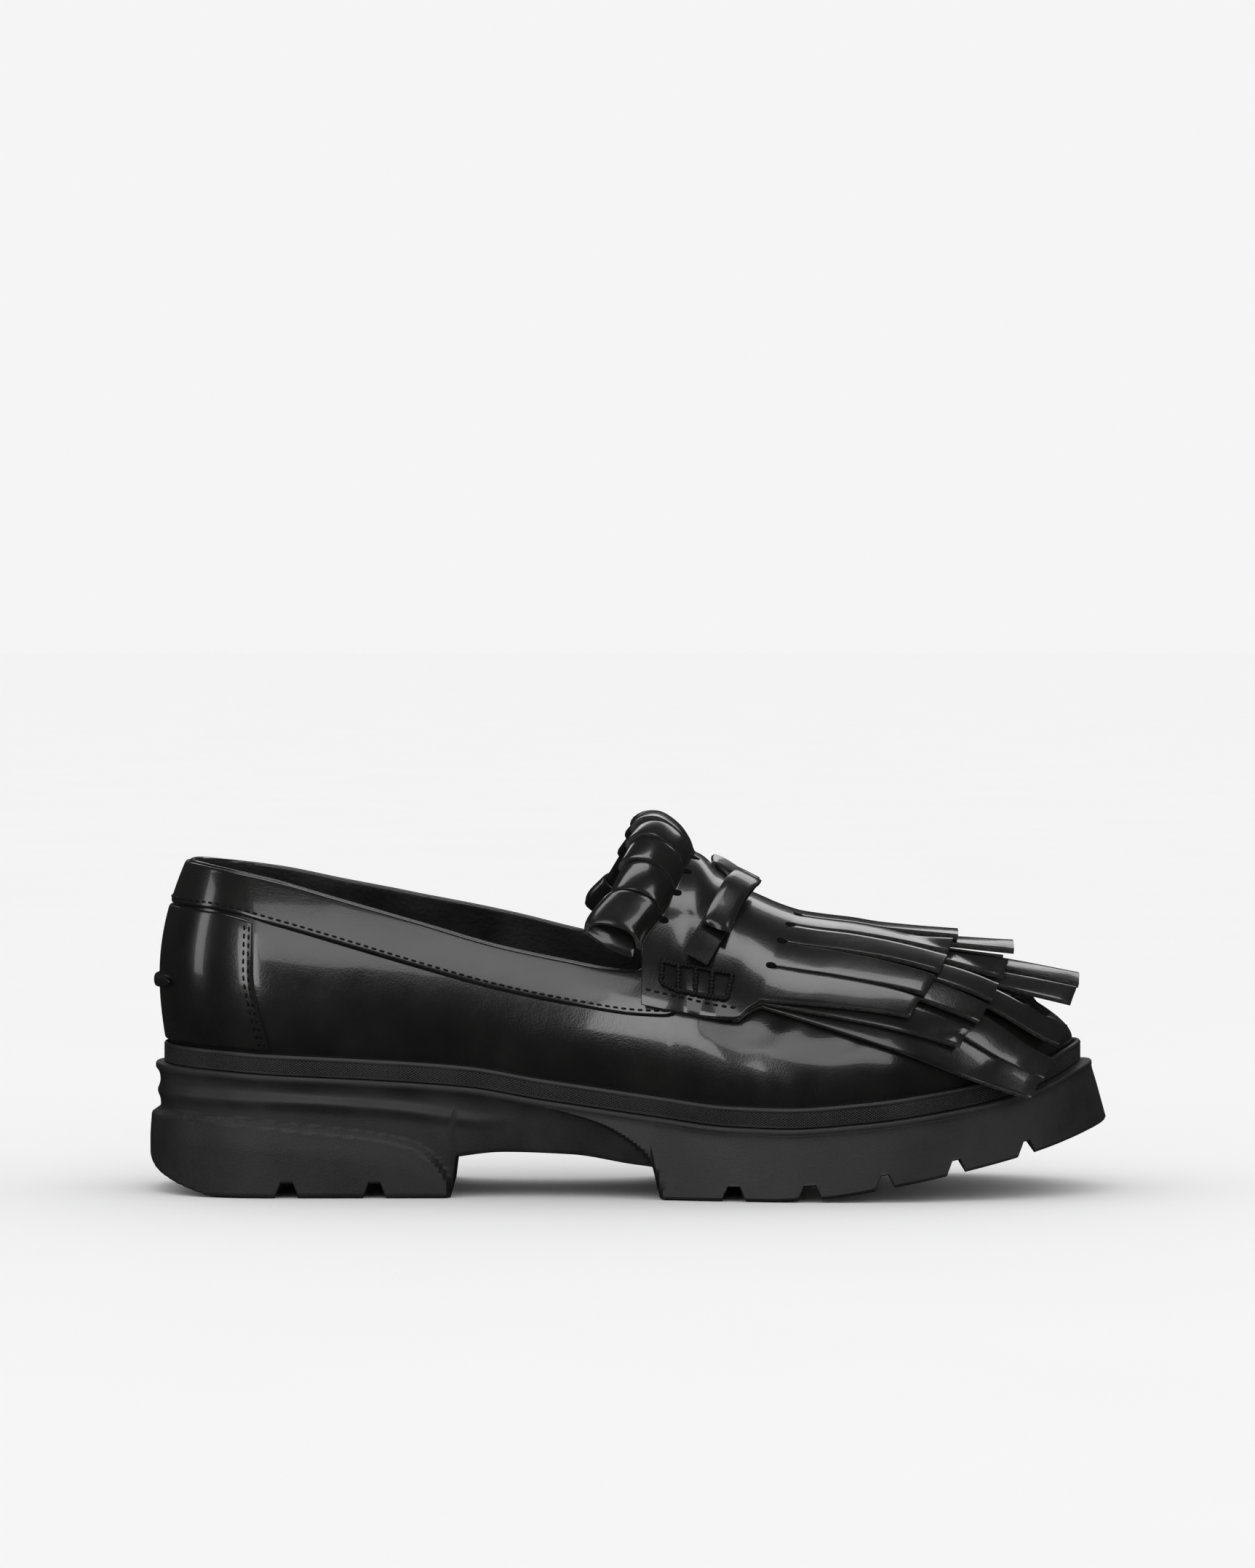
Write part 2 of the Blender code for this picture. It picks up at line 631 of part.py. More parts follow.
def build_welt():
    """Rubber strip on the flange, with a rounded top lip against the upper."""
    stations = base_stations()
    count = 2 * len(stations) - 2

    def inner(x):
        return -(upper_inset(x) - GAP)

    def outer(x):
        return -(WELT_INSET + 0.5 * TOE_EXTRA_INSET * ease(share(x), 0.6, 1.0))

    section = (
        (0.0, 0.0),
        (0.0, 0.90),
        (0.45, 1.0),
        (1.0, 0.97),
        (1.0, 0.0),
    )
    rings = []
    for inward, rise in section:
        rings.append(
            loop_of(
                stations,
                lambda x, inward=inward: outer(x) + inward * (inner(x) - outer(x)),
                lambda x, _, rise=rise: flange_top(x) + GAP + rise * (WELT_HEIGHT - GAP),
            )
        )
    rings.append(rings[0])
    points = np.vstack(rings[:-1])
    faces = ring_faces(len(rings), count)
    wrap = len(points)
    faces = [tuple(corner % wrap for corner in face)[::-1] for face in faces]
    return new_object("welt", points, faces, RUBBER)


def build_insole():
    stations = base_stations()
    count = 2 * len(stations) - 2
    rings = []
    for rise in (INSOLE_THICKNESS, 0.0):
        rings.append(
            loop_of(
                stations,
                lambda x: -(upper_inset(x) + LEATHER + 2 * SOFT_GAP),
                lambda x, _, rise=rise: flange_top(x) + GAP + rise,
            )
        )
    faces = ring_faces(2, count)
    faces += cap_faces(0, count, len(stations), True)
    faces += cap_faces(count, count, len(stations), False)
    return new_object("insole", np.vstack(rings), faces, LINING)


def ridge_height(x):
    return through(LAST, 1, share(x))


def last_point(side, station, turn, offset=0.0):
    """Point of the upper's outside: turn 0 at the top of the welt, 1 on the ridge."""
    base_x, base_y = plan(side, station, 0.0)
    inset = upper_inset(base_x)
    base_x, base_y = plan(side, station, -inset)
    pivot_x = np.clip(HEEL_PIVOT + (station - 1) * (TOE_PIVOT - HEEL_PIVOT), HEEL_PIVOT, TOE_PIVOT)
    pivot_y = through(RIDGE_SKEW, 1, share(pivot_x))
    flange_x, _ = plan(side, station, 0.0)
    foot = flange_top(flange_x) + WELT_HEIGHT
    run_x = base_x - pivot_x
    run_y = base_y - pivot_y
    reach = np.hypot(run_x, run_y)
    angle = turn * math.pi / 2
    fullness = through(LAST, 2, share(base_x))
    rise = np.sin(angle)
    bulge = through(LAST, 3, share(base_x))
    filled = np.clip(rise / through(LAST, 4, share(base_x)), 0, 1)
    out = np.cos(angle) ** fullness + (bulge * np.sin(math.pi * filled) + offset) / reach
    x = pivot_x + run_x * out
    y = pivot_y + run_y * out
    z = foot + (ridge_height(x) - foot) * rise
    return np.array([x, y, z])


def turn_at(side, station, height_of):
    """Turn at which a rib of the last reaches a height that depends on the place."""
    turns = np.linspace(0, 1, 241)
    x, _, z = last_point(side, station, turns)
    above = z - height_of(x)
    crossed = np.nonzero(above >= 0)[0]
    if len(crossed) == 0:
        return 1.0
    index = crossed[0]
    if index == 0:
        return 0.0
    before = above[index - 1]
    return float(turns[index - 1] + (turns[1] - turns[0]) * before / (before - above[index]))


def topline(side):
    column = 1 if side == LATERAL else 2
    return lambda x: through(TOPLINE, column, share(x))


def upper_stations():
    """Stations of the upper, closer together where the topline climbs to the throat."""
    throat = [station_at(place(row[0])) for row in TOPLINE[-6:]]
    finer = np.linspace(throat[1], throat[-1], 8)
    kept = [s for s in base_stations() if s < throat[1] - 0.015 or s > throat[-1] + 0.015]
    return np.unique(np.concatenate([kept, finer]))


def build_upper():
    """Open sheet of ribs from the feather edge to the topline or the ridge, then its wall."""
    stations = upper_stations()
    levels = 8
    points = []
    index_of = {}
    tops = {}
    for side in (LATERAL, MEDIAL):
        for number, station in enumerate(stations):
            tops[side, number] = turn_at(side, station, topline(side))
    for number in range(len(stations)):
        if tops[LATERAL, number] >= 1.0 or tops[MEDIAL, number] >= 1.0:
            tops[LATERAL, number] = 1.0
            tops[MEDIAL, number] = 1.0
    for side in (LATERAL, MEDIAL):
        for number, station in enumerate(stations):
            flange_x, _ = plan(side, station, 0.0)
            for level in range(levels + 1):
                shared_end = number in (0, len(stations) - 1)
                shared_ridge = level == levels and tops[side, number] >= 1.0
                if side == MEDIAL and (shared_end or shared_ridge):
                    index_of[side, number, level] = index_of[LATERAL, number, level]
                    continue
                if level == 0:
                    point = last_point(side, station, 0.0)
                    point[2] = flange_top(flange_x) + GAP
                else:
                    part = (level - 1) / (levels - 1)
                    point = last_point(side, station, tops[side, number] * part)
                index_of[side, number, level] = len(points)
                points.append(point)
    faces = []
    for side in (LATERAL, MEDIAL):
        for number in range(len(stations) - 1):
            for level in range(levels):
                corners = [
                    index_of[side, number, level],
                    index_of[side, number + 1, level],
                    index_of[side, number + 1, level + 1],
                    index_of[side, number, level + 1],
                ]
                corners = list(dict.fromkeys(corners))
                if len(corners) > 2:
                    faces.append(tuple(corners if side == LATERAL else corners[::-1]))
    points, faces = merged(points, faces)
    return new_object("upper", points, faces, PATENT, LEATHER, -1)


def merged(points, faces):
    """The same faces with points that coincide made one, as where ribs meet on the toe's pivot."""
    keys = {}
    kept = []
    renamed = []
    for point in points:
        key = tuple(np.round(np.asarray(point) * 1e6).astype(int))
        if key not in keys:
            keys[key] = len(kept)
            kept.append(point)
        renamed.append(keys[key])
    clean = []
    for face in faces:
        corners = list(dict.fromkeys(renamed[corner] for corner in face))
        if len(corners) > 2:
            clean.append(tuple(corners))
    return kept, clean


def band_heights(side):
    """Heights of the collar band's lower and upper edge, drawn together at its rounded end."""
    column = 1 if side == LATERAL else 2

    def edges(x):
        where = share(x)
        low = through(BAND_LOW, column, where)
        top = through(TOPLINE, column, np.minimum(where, THROAT_SIDE))
        middle = (low + top) / 2
        near_end = np.clip((where - BAND_ROUND) / (BAND_END - BAND_ROUND), 0, 1)
        kept = np.sqrt(1 - 0.97 * near_end**2)
        return middle + (low - middle) * kept, middle + (top - middle) * kept

    return edges


def sheet_faces(rows, columns):
    """Quads of a grid whose points are listed row by row."""
    faces = []
    for row in range(rows - 1):
        for column in range(columns - 1):
            corner = row * columns + column
            faces.append((corner, corner + 1, corner + columns + 1, corner + columns))
    return faces


def build_collar_band():
    """Raised band round the topline, from under the kiltie round the heel and back."""
    front = station_at(place(BAND_END))
    stations = np.array([s for s in upper_stations() if s < front - 0.02] + [front])
    columns = [(LATERAL, s) for s in stations[::-1]] + [(MEDIAL, s) for s in stations[1:]]
    rows = 3
    points = np.zeros((rows, len(columns), 3))
    for column, (side, station) in enumerate(columns):
        edges = band_heights(side)
        low = turn_at(side, station, lambda x, edges=edges: edges(x)[0])
        high = turn_at(side, station, lambda x, edges=edges: edges(x)[1])
        for row in range(rows):
            turn = low + (high - low) * row / (rows - 1)
            points[row, column] = last_point(side, station, turn, SOFT_GAP)
    faces = [face[::-1] for face in sheet_faces(rows, len(columns))]
    return new_object("collar_band", points.reshape(-1, 3), faces, PATENT, BAND_THICKNESS, 1)


def build_heel_counter():
    """Raised back panel between the welt and the band, with a curved front edge each side."""
    rows = 5
    columns = 17
    points = np.zeros((rows, columns, 3))
    for row in range(rows):
        level = row / (rows - 1)
        front = station_at(place(float(through(COUNTER_FRONT, 1, level))))
        for column in range(columns):
            across = -1 + 2 * column / (columns - 1)
            side = LATERAL if across < 0 else MEDIAL
            station = abs(across) * front
            edges = band_heights(side)
            high = turn_at(side, station, lambda x, edges=edges: edges(x)[0] - 2 * SOFT_GAP)
            turn = COUNTER_FOOT + (high - COUNTER_FOOT) * level
            points[row, column] = last_point(side, station, turn, COUNTER_GAP)
    faces = [face[::-1] for face in sheet_faces(rows, columns)]
    return new_object("heel_counter", points.reshape(-1, 3), faces, PATENT, COUNTER_THICKNESS, 1)


def build_heel_tab():
    """Short raised seam across the heel back."""
    columns = 11
    points = np.zeros((2, columns, 3))
    for row, height in enumerate((TAB_LOW, TAB_HIGH)):
        for column in range(columns):
            across = -1 + 2 * column / (columns - 1)
            side = LATERAL if across < 0 else MEDIAL
            station = abs(across) * TAB_REACH
            turn = turn_at(side, station, lambda x, height=height: np.full_like(x, height))
            out = COUNTER_GAP + COUNTER_THICKNESS + SOFT_GAP
            points[row, column] = last_point(side, station, turn, out)
    faces = [face[::-1] for face in sheet_faces(2, columns)]
    return new_object("heel_tab", points.reshape(-1, 3), faces, PATENT, TAB_THICKNESS, 1)


def middle_station(x):
    return 1 + (x - HEEL_PIVOT) / (TOE_PIVOT - HEEL_PIVOT)


def lifted(side, station, turn, lift):
    """Point above the upper's outside by a distance along its normal."""
    step = 1e-3
    low = max(turn - step, 0.0)
    high = min(turn + step, 1.0)
    up = last_point(side, station, high) - last_point(side, station, low)
    along = last_point(side, station + step, turn) - last_point(side, station - step, turn)
    normal = np.cross(along, up) * (1 if side == LATERAL else -1)
    normal = normal / np.linalg.norm(normal)
    if turn >= 1.0:
        normal[1] = 0.0
    return last_point(side, station, turn) + normal * lift


def saddle_point(x, across, lift):
    """Point over the instep: across runs from -1 at the outer lower edge to 1 at the inner one."""
    side = LATERAL if across < 0 else MEDIAL
    station = middle_station(x)
    low = turn_at(side, station, lambda at: through(SADDLE_LOW, 1, share(at)))
    return lifted(side, station, 1 - abs(across) * (1 - low), lift)


def slot_x(across):
    return place(float(through(SLOT_ROW, 1, abs(across))))


def curl_x(across):
    return place(float(through(CURL_ROW, 1, abs(across))))


def strip_end(layer, number, edge, side):
    """End corner of a fringe strip: number 0 lies beside the crest, edge 0 is its upper corner."""
    row = FRINGE[layer][number]
    here = np.array(row[0:3] if edge == 0 else row[3:6])
    other = np.array(row[3:6] if edge == 0 else row[0:3])
    corner = here + (other - here) * STRIP_GAP
    return np.array([BACK + corner[0] * LENGTH, side * corner[1] * BALL_WIDTH,
                     corner[2] * INSTEP_HEIGHT])


def upper_samples(side):
    """Points and outward normals spread over the front of the upper."""
    stations = np.linspace(1.2, 3.0, 90)
    turns = np.linspace(0, 1, 30)
    grid = np.array([last_point(side, station, turns).T for station in stations])
    along, up = np.gradient(grid, axis=(0, 1))
    normals = np.cross(along, up) * (1 if side == LATERAL else -1)
    lengths = np.linalg.norm(normals, axis=2)
    usable = lengths > 1e-12
    return grid[usable], normals[usable] / lengths[usable][:, None]


def clear_of_upper(point, side, lift):
    """The point, or the nearest one that stands off the upper by at least the lift."""
    surface, normals = SAMPLES[side]
    nearest = np.argmin(((surface - point) ** 2).sum(axis=1))
    height = np.dot(point - surface[nearest], normals[nearest])
    return point + normals[nearest] * max(lift - height, 0.0)


def bent(start, slope, end, part, down):
    """Point of a strip's edge, which leaves its root along the saddle and bends to its end."""
    reach = np.linalg.norm(end - start)
    straight = (end - start) / reach
    kept = 1 - STRIP_STRAIGHT * abs(down)
    heading = kept * slope / np.linalg.norm(slope) + (1 - kept) * straight
    control = start + heading / np.linalg.norm(heading) * STRIP_HOLD * reach
    return (1 - part) ** 2 * start + 2 * part * (1 - part) * control + part**2 * end


class Sheet:
    """Open sheet built strip by strip, whose points are shared where they coincide."""

    def __init__(self):
        self.points = []
        self.faces = []

    def add(self, grid):
        """Adds a grid of points as quads; grid[row][column]."""
        start = len(self.points)
        rows = len(grid)
        columns = len(grid[0])
        for row in grid:
            self.points.extend(row)
        for face in sheet_faces(rows, columns):
            self.faces.append(tuple(corner + start for corner in face[::-1]))

    def build(self, name, thickness):
        points, faces = merged(self.points, self.faces)
        return new_object(name, points, faces, PATENT, thickness, -1)


def add_fringe(sheet, layer, lift):
    """Ten strips from the slot row, five each side of the crest."""
    for side in (LATERAL, MEDIAL):
        for number in range(len(FRINGE[layer])):
            inner = number / len(FRINGE[layer])
            outer = (number + 1) / len(FRINGE[layer])
            ends = [strip_end(layer, number, edge, side) for edge in (0, 1)]
            grid = []
            for step in range(STRIP_STEPS + 1):
                part = step / STRIP_STEPS
                row = []
                for cut in (0.0, 0.5, 1.0):
                    across = side * (inner + (outer - inner) * cut)
                    x = slot_x(across)
                    height = lift(x, across)
                    start = saddle_point(x, across, height)
                    slope = saddle_point(x + SLOPE_RUN, across, height) - start
                    end = ends[0] + (ends[1] - ends[0]) * cut
                    point = bent(start, slope, end, part, across)
                    air = STRIP_AIR * min(step, 2) / 2
                    row.append(clear_of_upper(point, side, height + air) if step else start)
                grid.append(row if side == MEDIAL else row[::-1])
            sheet.add(grid)


def layer_lift(number, x, across):
    """Height of a layer's outside over the upper: the lowest layer is there only in front."""
    layer = KILTIE_LEATHER + KILTIE_GAP
    first = KILTIE_LEATHER + KILTIE_SEAT
    if number == 0:
        return first
    rise = ease(x - slot_x(across), -LAYER_TUCK - 2 * LAYER_RAMP, -LAYER_TUCK - 0.2 * LAYER_RAMP)
    over_band = 1 - ease(share(x), BAND_END, BAND_END + 0.015)
    over_band = over_band * ease(abs(across), 0.30, 0.60)
    stack = first + (number - 1 + rise) * layer
    return stack + over_band * (BAND_THICKNESS + SOFT_GAP)


def strip_columns():
    """Shares across the saddle, at its rear and at its front: two columns a strip."""
    half = [number / (2 * STRIPS) for number in range(2 * STRIPS + 1)]
    return [(-value, -value) for value in half[:0:-1]] + [(value, value) for value in half]


def saddle_columns():
    """As for the strips, drawn in at the rear to the curl's edge, with a lower corner added."""
    half = [(CURL_EDGE * front, front) for _, front in strip_columns()[2 * STRIPS :]]
    half.append((1.0, 1.0))
    return [(-rear, -front) for rear, front in half[:0:-1]] + half


def saddle_grid(columns, lift, rear_of, rows):
    """Rows from the rear edge to the slot row, closer together where the crest falls steeply."""
    grid = []
    for row in range(rows + 1):
        line = []
        forward = (row / rows) ** ROW_CROWDING
        for behind, ahead in columns:
            rear = rear_of(behind)
            across = behind + (ahead - behind) * forward
            x = rear + (slot_x(ahead) - rear) * forward
            line.append(saddle_point(x, across, lift(x, across)))
        grid.append(line)
    return grid


def build_kiltie():
    """Saddle over the instep, fused with its top fringe in front and its curled loops behind."""
    def lift(x, across):
        return layer_lift(2, x, across)

    sheet = Sheet()
    sheet.add(saddle_grid(saddle_columns(), lift, curl_x, SADDLE_ROWS))
    add_fringe(sheet, "top", lift)
    add_loops(sheet, lift)
    return sheet.build("kiltie", KILTIE_LEATHER)


def build_kiltie_middle():
    def lift(x, across):
        return layer_lift(1, x, across)

    def rear(across):
        return curl_x(across) + CURL_TUCK

    sheet = Sheet()
    sheet.add(saddle_grid(saddle_columns(), lift, rear, SADDLE_ROWS))
    add_fringe(sheet, "middle", lift)
    return sheet.build("kiltie_middle", KILTIE_LEATHER)


def build_kiltie_lower():
    def lift(x, across):
        return layer_lift(0, x, across)

    def rear(across):
        return slot_x(across) - LAYER_TUCK

    sheet = Sheet()
    sheet.add(saddle_grid(strip_columns(), lift, rear, 1))
    add_fringe(sheet, "lower", lift)
    return sheet.build("kiltie_lower", KILTIE_LEATHER)


def add_loops(sheet, lift):
    """Ten strips behind the saddle that curl up, back and down under it."""
    for side in (LATERAL, MEDIAL):
        for number in range(STRIPS):
            grid = []
            for step in range(len(LOOP) + 1):
                row = []
                for cut in (0.0, 0.5, 1.0):
                    down = CURL_EDGE * (number + cut) / STRIPS
                    across = side * down
                    x = curl_x(across)
                    start = saddle_point(x, across, lift(x, across))
                    row.append(curled(start, side, number, down, step, cut))
                grid.append(row if side == LATERAL else row[::-1])
            sheet.add(grid)


def curled(start, side, number, down, step, cut):
    """Point of a loop's outside: step 0 lies on the saddle's rear edge."""
    if step == 0:
        return start
    crest_back, crest_up, side_back, side_up = LOOP[step - 1]
    part = down / CURL_EDGE
    size = LOOP_SIZES[number]
    back = LOOP_LENGTH * (crest_back + (side_back - crest_back) * part)
    up = LOOP_HEIGHT * (crest_up + (side_up - crest_up) * part)
    grown = 1 + (size - 1) * min(step, 5) / 5
    rise = np.array([0.0, side * LOOP_LEAN * part, 1.0])
    rise = rise / np.linalg.norm(rise)
    if side == MEDIAL:
        up = up + INNER_LOOP_LIFT * part * min(step, 5) / 5
    split = CURL_SPLIT * (1 - 2 * cut) * side
    return start + np.array([-back * grown, split, 0.0]) + rise * up * grown


def smooth_route(points, samples, closed):
    """Points evenly spread along a smooth curve through a route."""
    points = np.array(points, float)
    if closed:
        padded = np.vstack([points[-2], points, points[1]])
    else:
        first = 2 * points[0] - points[1]
        last = 2 * points[-1] - points[-2]
        padded = np.vstack([first, points, last])
    fine = []
    for index in range(len(points) - 1):
        before, here, there, after = padded[index : index + 4]
        for part in np.linspace(0, 1, 12)[:-1]:
            fine.append(
                0.5
                * (
                    2 * here
                    + (there - before) * part
                    + (2 * before - 5 * here + 4 * there - after) * part**2
                    + (3 * here - before - 3 * there + after) * part**3
                )
            )
    fine.append(points[-1])
    fine = np.array(fine)
    run = np.concatenate([[0], np.cumsum(np.linalg.norm(np.diff(fine, axis=0), axis=1))])
    places = np.linspace(0, run[-1], samples)
    return np.column_stack([np.interp(places, run, fine[:, axis]) for axis in range(3)])


def ribbon(name, route, widths, closed):
    """Flat strip of leather along a route; widths gives its direction across at each point."""
    count = len(route) - 1 if closed else len(route)
    points = []
    for index in range(count):
        if closed:
            tangent = route[(index + 1) % count] - route[index - 1]
        else:
            tangent = route[min(index + 1, count - 1)] - route[max(index - 1, 0)]
        tangent = tangent / np.linalg.norm(tangent)
        across = widths[index] - tangent * np.dot(widths[index], tangent)
        across = across / np.linalg.norm(across)
        outward = np.cross(tangent, across)
        for half, deep in ((-0.5, 0), (0.5, 0), (0.5, 1), (-0.5, 1)):
            points.append(
                route[index] + across * half * BOW_WIDTH + outward * deep * BOW_LEATHER
            )
    faces = []
    spans = count if closed else count - 1
    for index in range(spans):
        low = 4 * index
        high = 4 * ((index + 1) % count)
        for corner in range(4):
            following = (corner + 1) % 4
            faces.append((low + corner, low + following, high + following, high + corner))
    if not closed:
        last = 4 * (count - 1)
        faces.append((3, 2, 1, 0))
        faces.append((last, last + 1, last + 2, last + 3))
    return new_object(name, points, faces, PATENT)


def over_saddle(side, rows):
    """Points over the kiltie from rows of share of the length, share down the side, height."""
    route = []
    for where, down, height in rows:
        x = place(where)
        route.append(saddle_point(x, side * down, layer_lift(2, x, side * down) + height))
    return route


def build_bow():
    """Ring over the crest, and a loop and a tail of the same ribbon on each side."""
    x = place(KNOT_PLACE)
    crest = saddle_point(x, 0.0, layer_lift(2, x, 0.0))
    ahead = saddle_point(x + SLOPE_RUN, 0.0, layer_lift(2, x + SLOPE_RUN, 0.0))
    along = (ahead - crest) / np.linalg.norm(ahead - crest)
    over = np.cross(along, (0.0, 1.0, 0.0))
    ring = []
    for step in range(KNOT_STEPS + 1):
        angle = 2 * math.pi * step / KNOT_STEPS
        reach = along * math.cos(angle) * KNOT_LENGTH / 2
        height = KNOT_HEIGHT * (1 + math.sin(angle)) / 2
        ring.append(crest + reach + over * (height + SOFT_GAP + BOW_LEATHER))
    across = [np.array([0.0, -1.0, 0.0])] * len(ring)
    ribbon("bow_knot", np.array(ring), across, True)
    for side, word in ((LATERAL, "outer"), (MEDIAL, "inner")):
        forward = np.array([1.0, 0.0, -0.5]) * side
        loop = smooth_route(over_saddle(side, BOW_LOOP + BOW_LOOP[:1]), 17, True)
        ribbon("bow_loop_" + word, loop, [forward] * len(loop), True)
        tail = smooth_route(over_saddle(side, BOW_TAIL), 7, False)
        ribbon("bow_tail_" + word, tail, [-forward] * len(tail), False)


def material(name, colour, roughness):
    made = bpy.data.materials.new(name)
    made.use_nodes = True
    shader = made.node_tree.nodes["Principled BSDF"]
    shader.inputs["Base Color"].default_value = (*colour, 1.0)
    shader.inputs["Roughness"].default_value = roughness
    shader.inputs["Metallic"].default_value = 0.0
    return made


for old in list(bpy.data.objects):
    bpy.data.objects.remove(old)
COLLECTION = bpy.data.collections.new("kiltie_loafer")
bpy.context.scene.collection.children.link(COLLECTION)
PATENT = material("black_polished_leather", (0.012, 0.012, 0.013), 0.15)
LINING = material("black_lining_leather", (0.018, 0.018, 0.019), 0.55)
RUBBER = material("black_rubber", (0.016, 0.016, 0.017), 0.60)

SAMPLES = {side: upper_samples(side) for side in (LATERAL, MEDIAL)}

build_outsole()
build_welt()
build_insole()
build_upper()
build_collar_band()
build_heel_counter()
build_heel_tab()
build_kiltie_lower()
build_kiltie_middle()
build_kiltie()
build_bow()
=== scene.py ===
import math

import bpy
import numpy as np
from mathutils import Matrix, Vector


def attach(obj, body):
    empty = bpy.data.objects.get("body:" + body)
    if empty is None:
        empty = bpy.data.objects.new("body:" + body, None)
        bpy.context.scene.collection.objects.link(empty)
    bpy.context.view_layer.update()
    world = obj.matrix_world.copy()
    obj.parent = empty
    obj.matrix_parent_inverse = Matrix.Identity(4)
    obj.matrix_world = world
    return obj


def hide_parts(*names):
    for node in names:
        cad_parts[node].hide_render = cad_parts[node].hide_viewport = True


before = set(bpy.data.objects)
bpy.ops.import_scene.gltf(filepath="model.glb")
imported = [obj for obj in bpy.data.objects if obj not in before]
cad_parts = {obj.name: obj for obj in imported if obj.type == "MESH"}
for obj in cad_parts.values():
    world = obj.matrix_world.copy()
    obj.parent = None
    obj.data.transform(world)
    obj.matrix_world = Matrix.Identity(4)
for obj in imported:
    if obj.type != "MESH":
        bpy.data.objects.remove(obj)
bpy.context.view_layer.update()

# Kiltie loafer, right shoe: its looks, built from the same sizes and shape functions as the solids

# Sole sizes
LENGTH = 0.3045
BALL_WIDTH = 0.108
WAIST_WIDTH = 0.076
HEEL_WIDTH = 0.077
HEEL_SEAT = 0.0405
BALL_SEAT = 0.0223
TOE_SEAT = 0.0411
TOE_SPRING = 0.0235
ARCH_HEIGHT = 0.0139
BLOCK_FLARE = 0.0018
TOE_FLARE = 0.0048
BALL_FLARE = 0.0018
FLANGE_LIP = 0.0018
SIDE_RECESS = 0.0012
PANEL_BLEND = 0.0022
LUG_DEPTH = 0.0043
LUG_GAP = 0.0072
LUG_SLOPE = 0.0017
TREAD_EDGE = 0.0010

# Upper sizes
HEEL_BACK_HEIGHT = 0.1044
INSTEP_HEIGHT = 0.1020
LEATHER = 0.0020
WELT_HEIGHT = 0.0064
WELT_INSET = 0.0027
UPPER_INSET = 0.0046
TOE_EXTRA_INSET = 0.0018
INSOLE_THICKNESS = 0.0030
BAND_THICKNESS = 0.0009
COUNTER_THICKNESS = 0.0007
TAB_THICKNESS = 0.0013
GAP = 0.0003
SOFT_GAP = 0.0004

BACK = -LENGTH / 2
FRONT = LENGTH / 2
FLANGE_BACK = BACK + BLOCK_FLARE
FLANGE_FRONT = FRONT - TOE_FLARE
HEEL_PIVOT = BACK + 0.105 * LENGTH
TOE_PIVOT = FRONT - 0.150 * LENGTH
LATERAL = -1
MEDIAL = 1

# Plan of the flange, before its ends are rounded: share of the length, half width outside, inside
OUTLINE = (
    (0.00, 0.500 * HEEL_WIDTH, 0.490 * HEEL_WIDTH),
    (0.15, 0.510 * HEEL_WIDTH, 0.495 * HEEL_WIDTH),
    (0.30, 0.505 * HEEL_WIDTH, 0.475 * HEEL_WIDTH),
    (0.42, 0.530 * WAIST_WIDTH, 0.455 * WAIST_WIDTH),
    (0.50, 0.570 * WAIST_WIDTH, 0.475 * WAIST_WIDTH),
    (0.60, 0.463 * BALL_WIDTH, 0.410 * BALL_WIDTH),
    (0.68, 0.500 * BALL_WIDTH, 0.463 * BALL_WIDTH),
    (0.75, 0.505 * BALL_WIDTH, 0.490 * BALL_WIDTH),
    (0.83, 0.482 * BALL_WIDTH, 0.484 * BALL_WIDTH),
    (0.92, 0.448 * BALL_WIDTH, 0.462 * BALL_WIDTH),
    (1.00, 0.400 * BALL_WIDTH, 0.415 * BALL_WIDTH),
)
HEEL_ROUND = 0.13
TOE_ROUND = 0.22
HEEL_ROUND_POWER = 2.3
TOE_ROUND_POWER = 2.2

# Top of the flange: share of the length, height
FLANGE_TOP = (
    (0.00, 1.000 * HEEL_SEAT),
    (0.07, 0.972 * HEEL_SEAT),
    (0.13, 0.941 * HEEL_SEAT),
    (0.24, 0.899 * HEEL_SEAT),
    (0.335, 0.847 * HEEL_SEAT),
    (0.405, 0.758 * HEEL_SEAT),
    (0.47, 1.247 * BALL_SEAT),
    (0.53, 1.135 * BALL_SEAT),
    (0.60, 1.022 * BALL_SEAT),
    (0.66, 1.000 * BALL_SEAT),
    (0.74, 1.076 * BALL_SEAT),
    (0.83, 0.674 * TOE_SEAT),
    (0.92, 0.815 * TOE_SEAT),
    (0.98, 0.985 * TOE_SEAT),
    (1.00, 1.020 * TOE_SEAT),
)

# Underside between the breasts and under the toe: share of the length, height
ARCH = (
    (0.310, 0.860 * ARCH_HEIGHT),
    (0.370, 1.000 * ARCH_HEIGHT),
    (0.440, 0.950 * ARCH_HEIGHT),
    (0.500, 0.750 * ARCH_HEIGHT),
    (0.540, 0.640 * ARCH_HEIGHT),
)
SPRING = (
    (0.650, 0.000 * TOE_SPRING),
    (0.700, 0.040 * TOE_SPRING),
    (0.770, 0.190 * TOE_SPRING),
    (0.840, 0.375 * TOE_SPRING),
    (0.915, 0.620 * TOE_SPRING),
    (1.000, 1.000 * TOE_SPRING),
)
HEEL_BREAST = 0.3170
HEEL_BREAST_TOP = 0.3225
BALL_BREAST_TOP = 0.5230
BALL_BREAST = 0.5285

# Grooves between the lugs: share of the length, share of the lug gap
LUG_GAPS = (
    (0.149, 1.00),
    (0.239, 0.97),
    (0.608, 1.00),
    (0.685, 1.00),
    (0.761, 0.80),
    (0.833, 0.80),
    (0.903, 0.72),
)

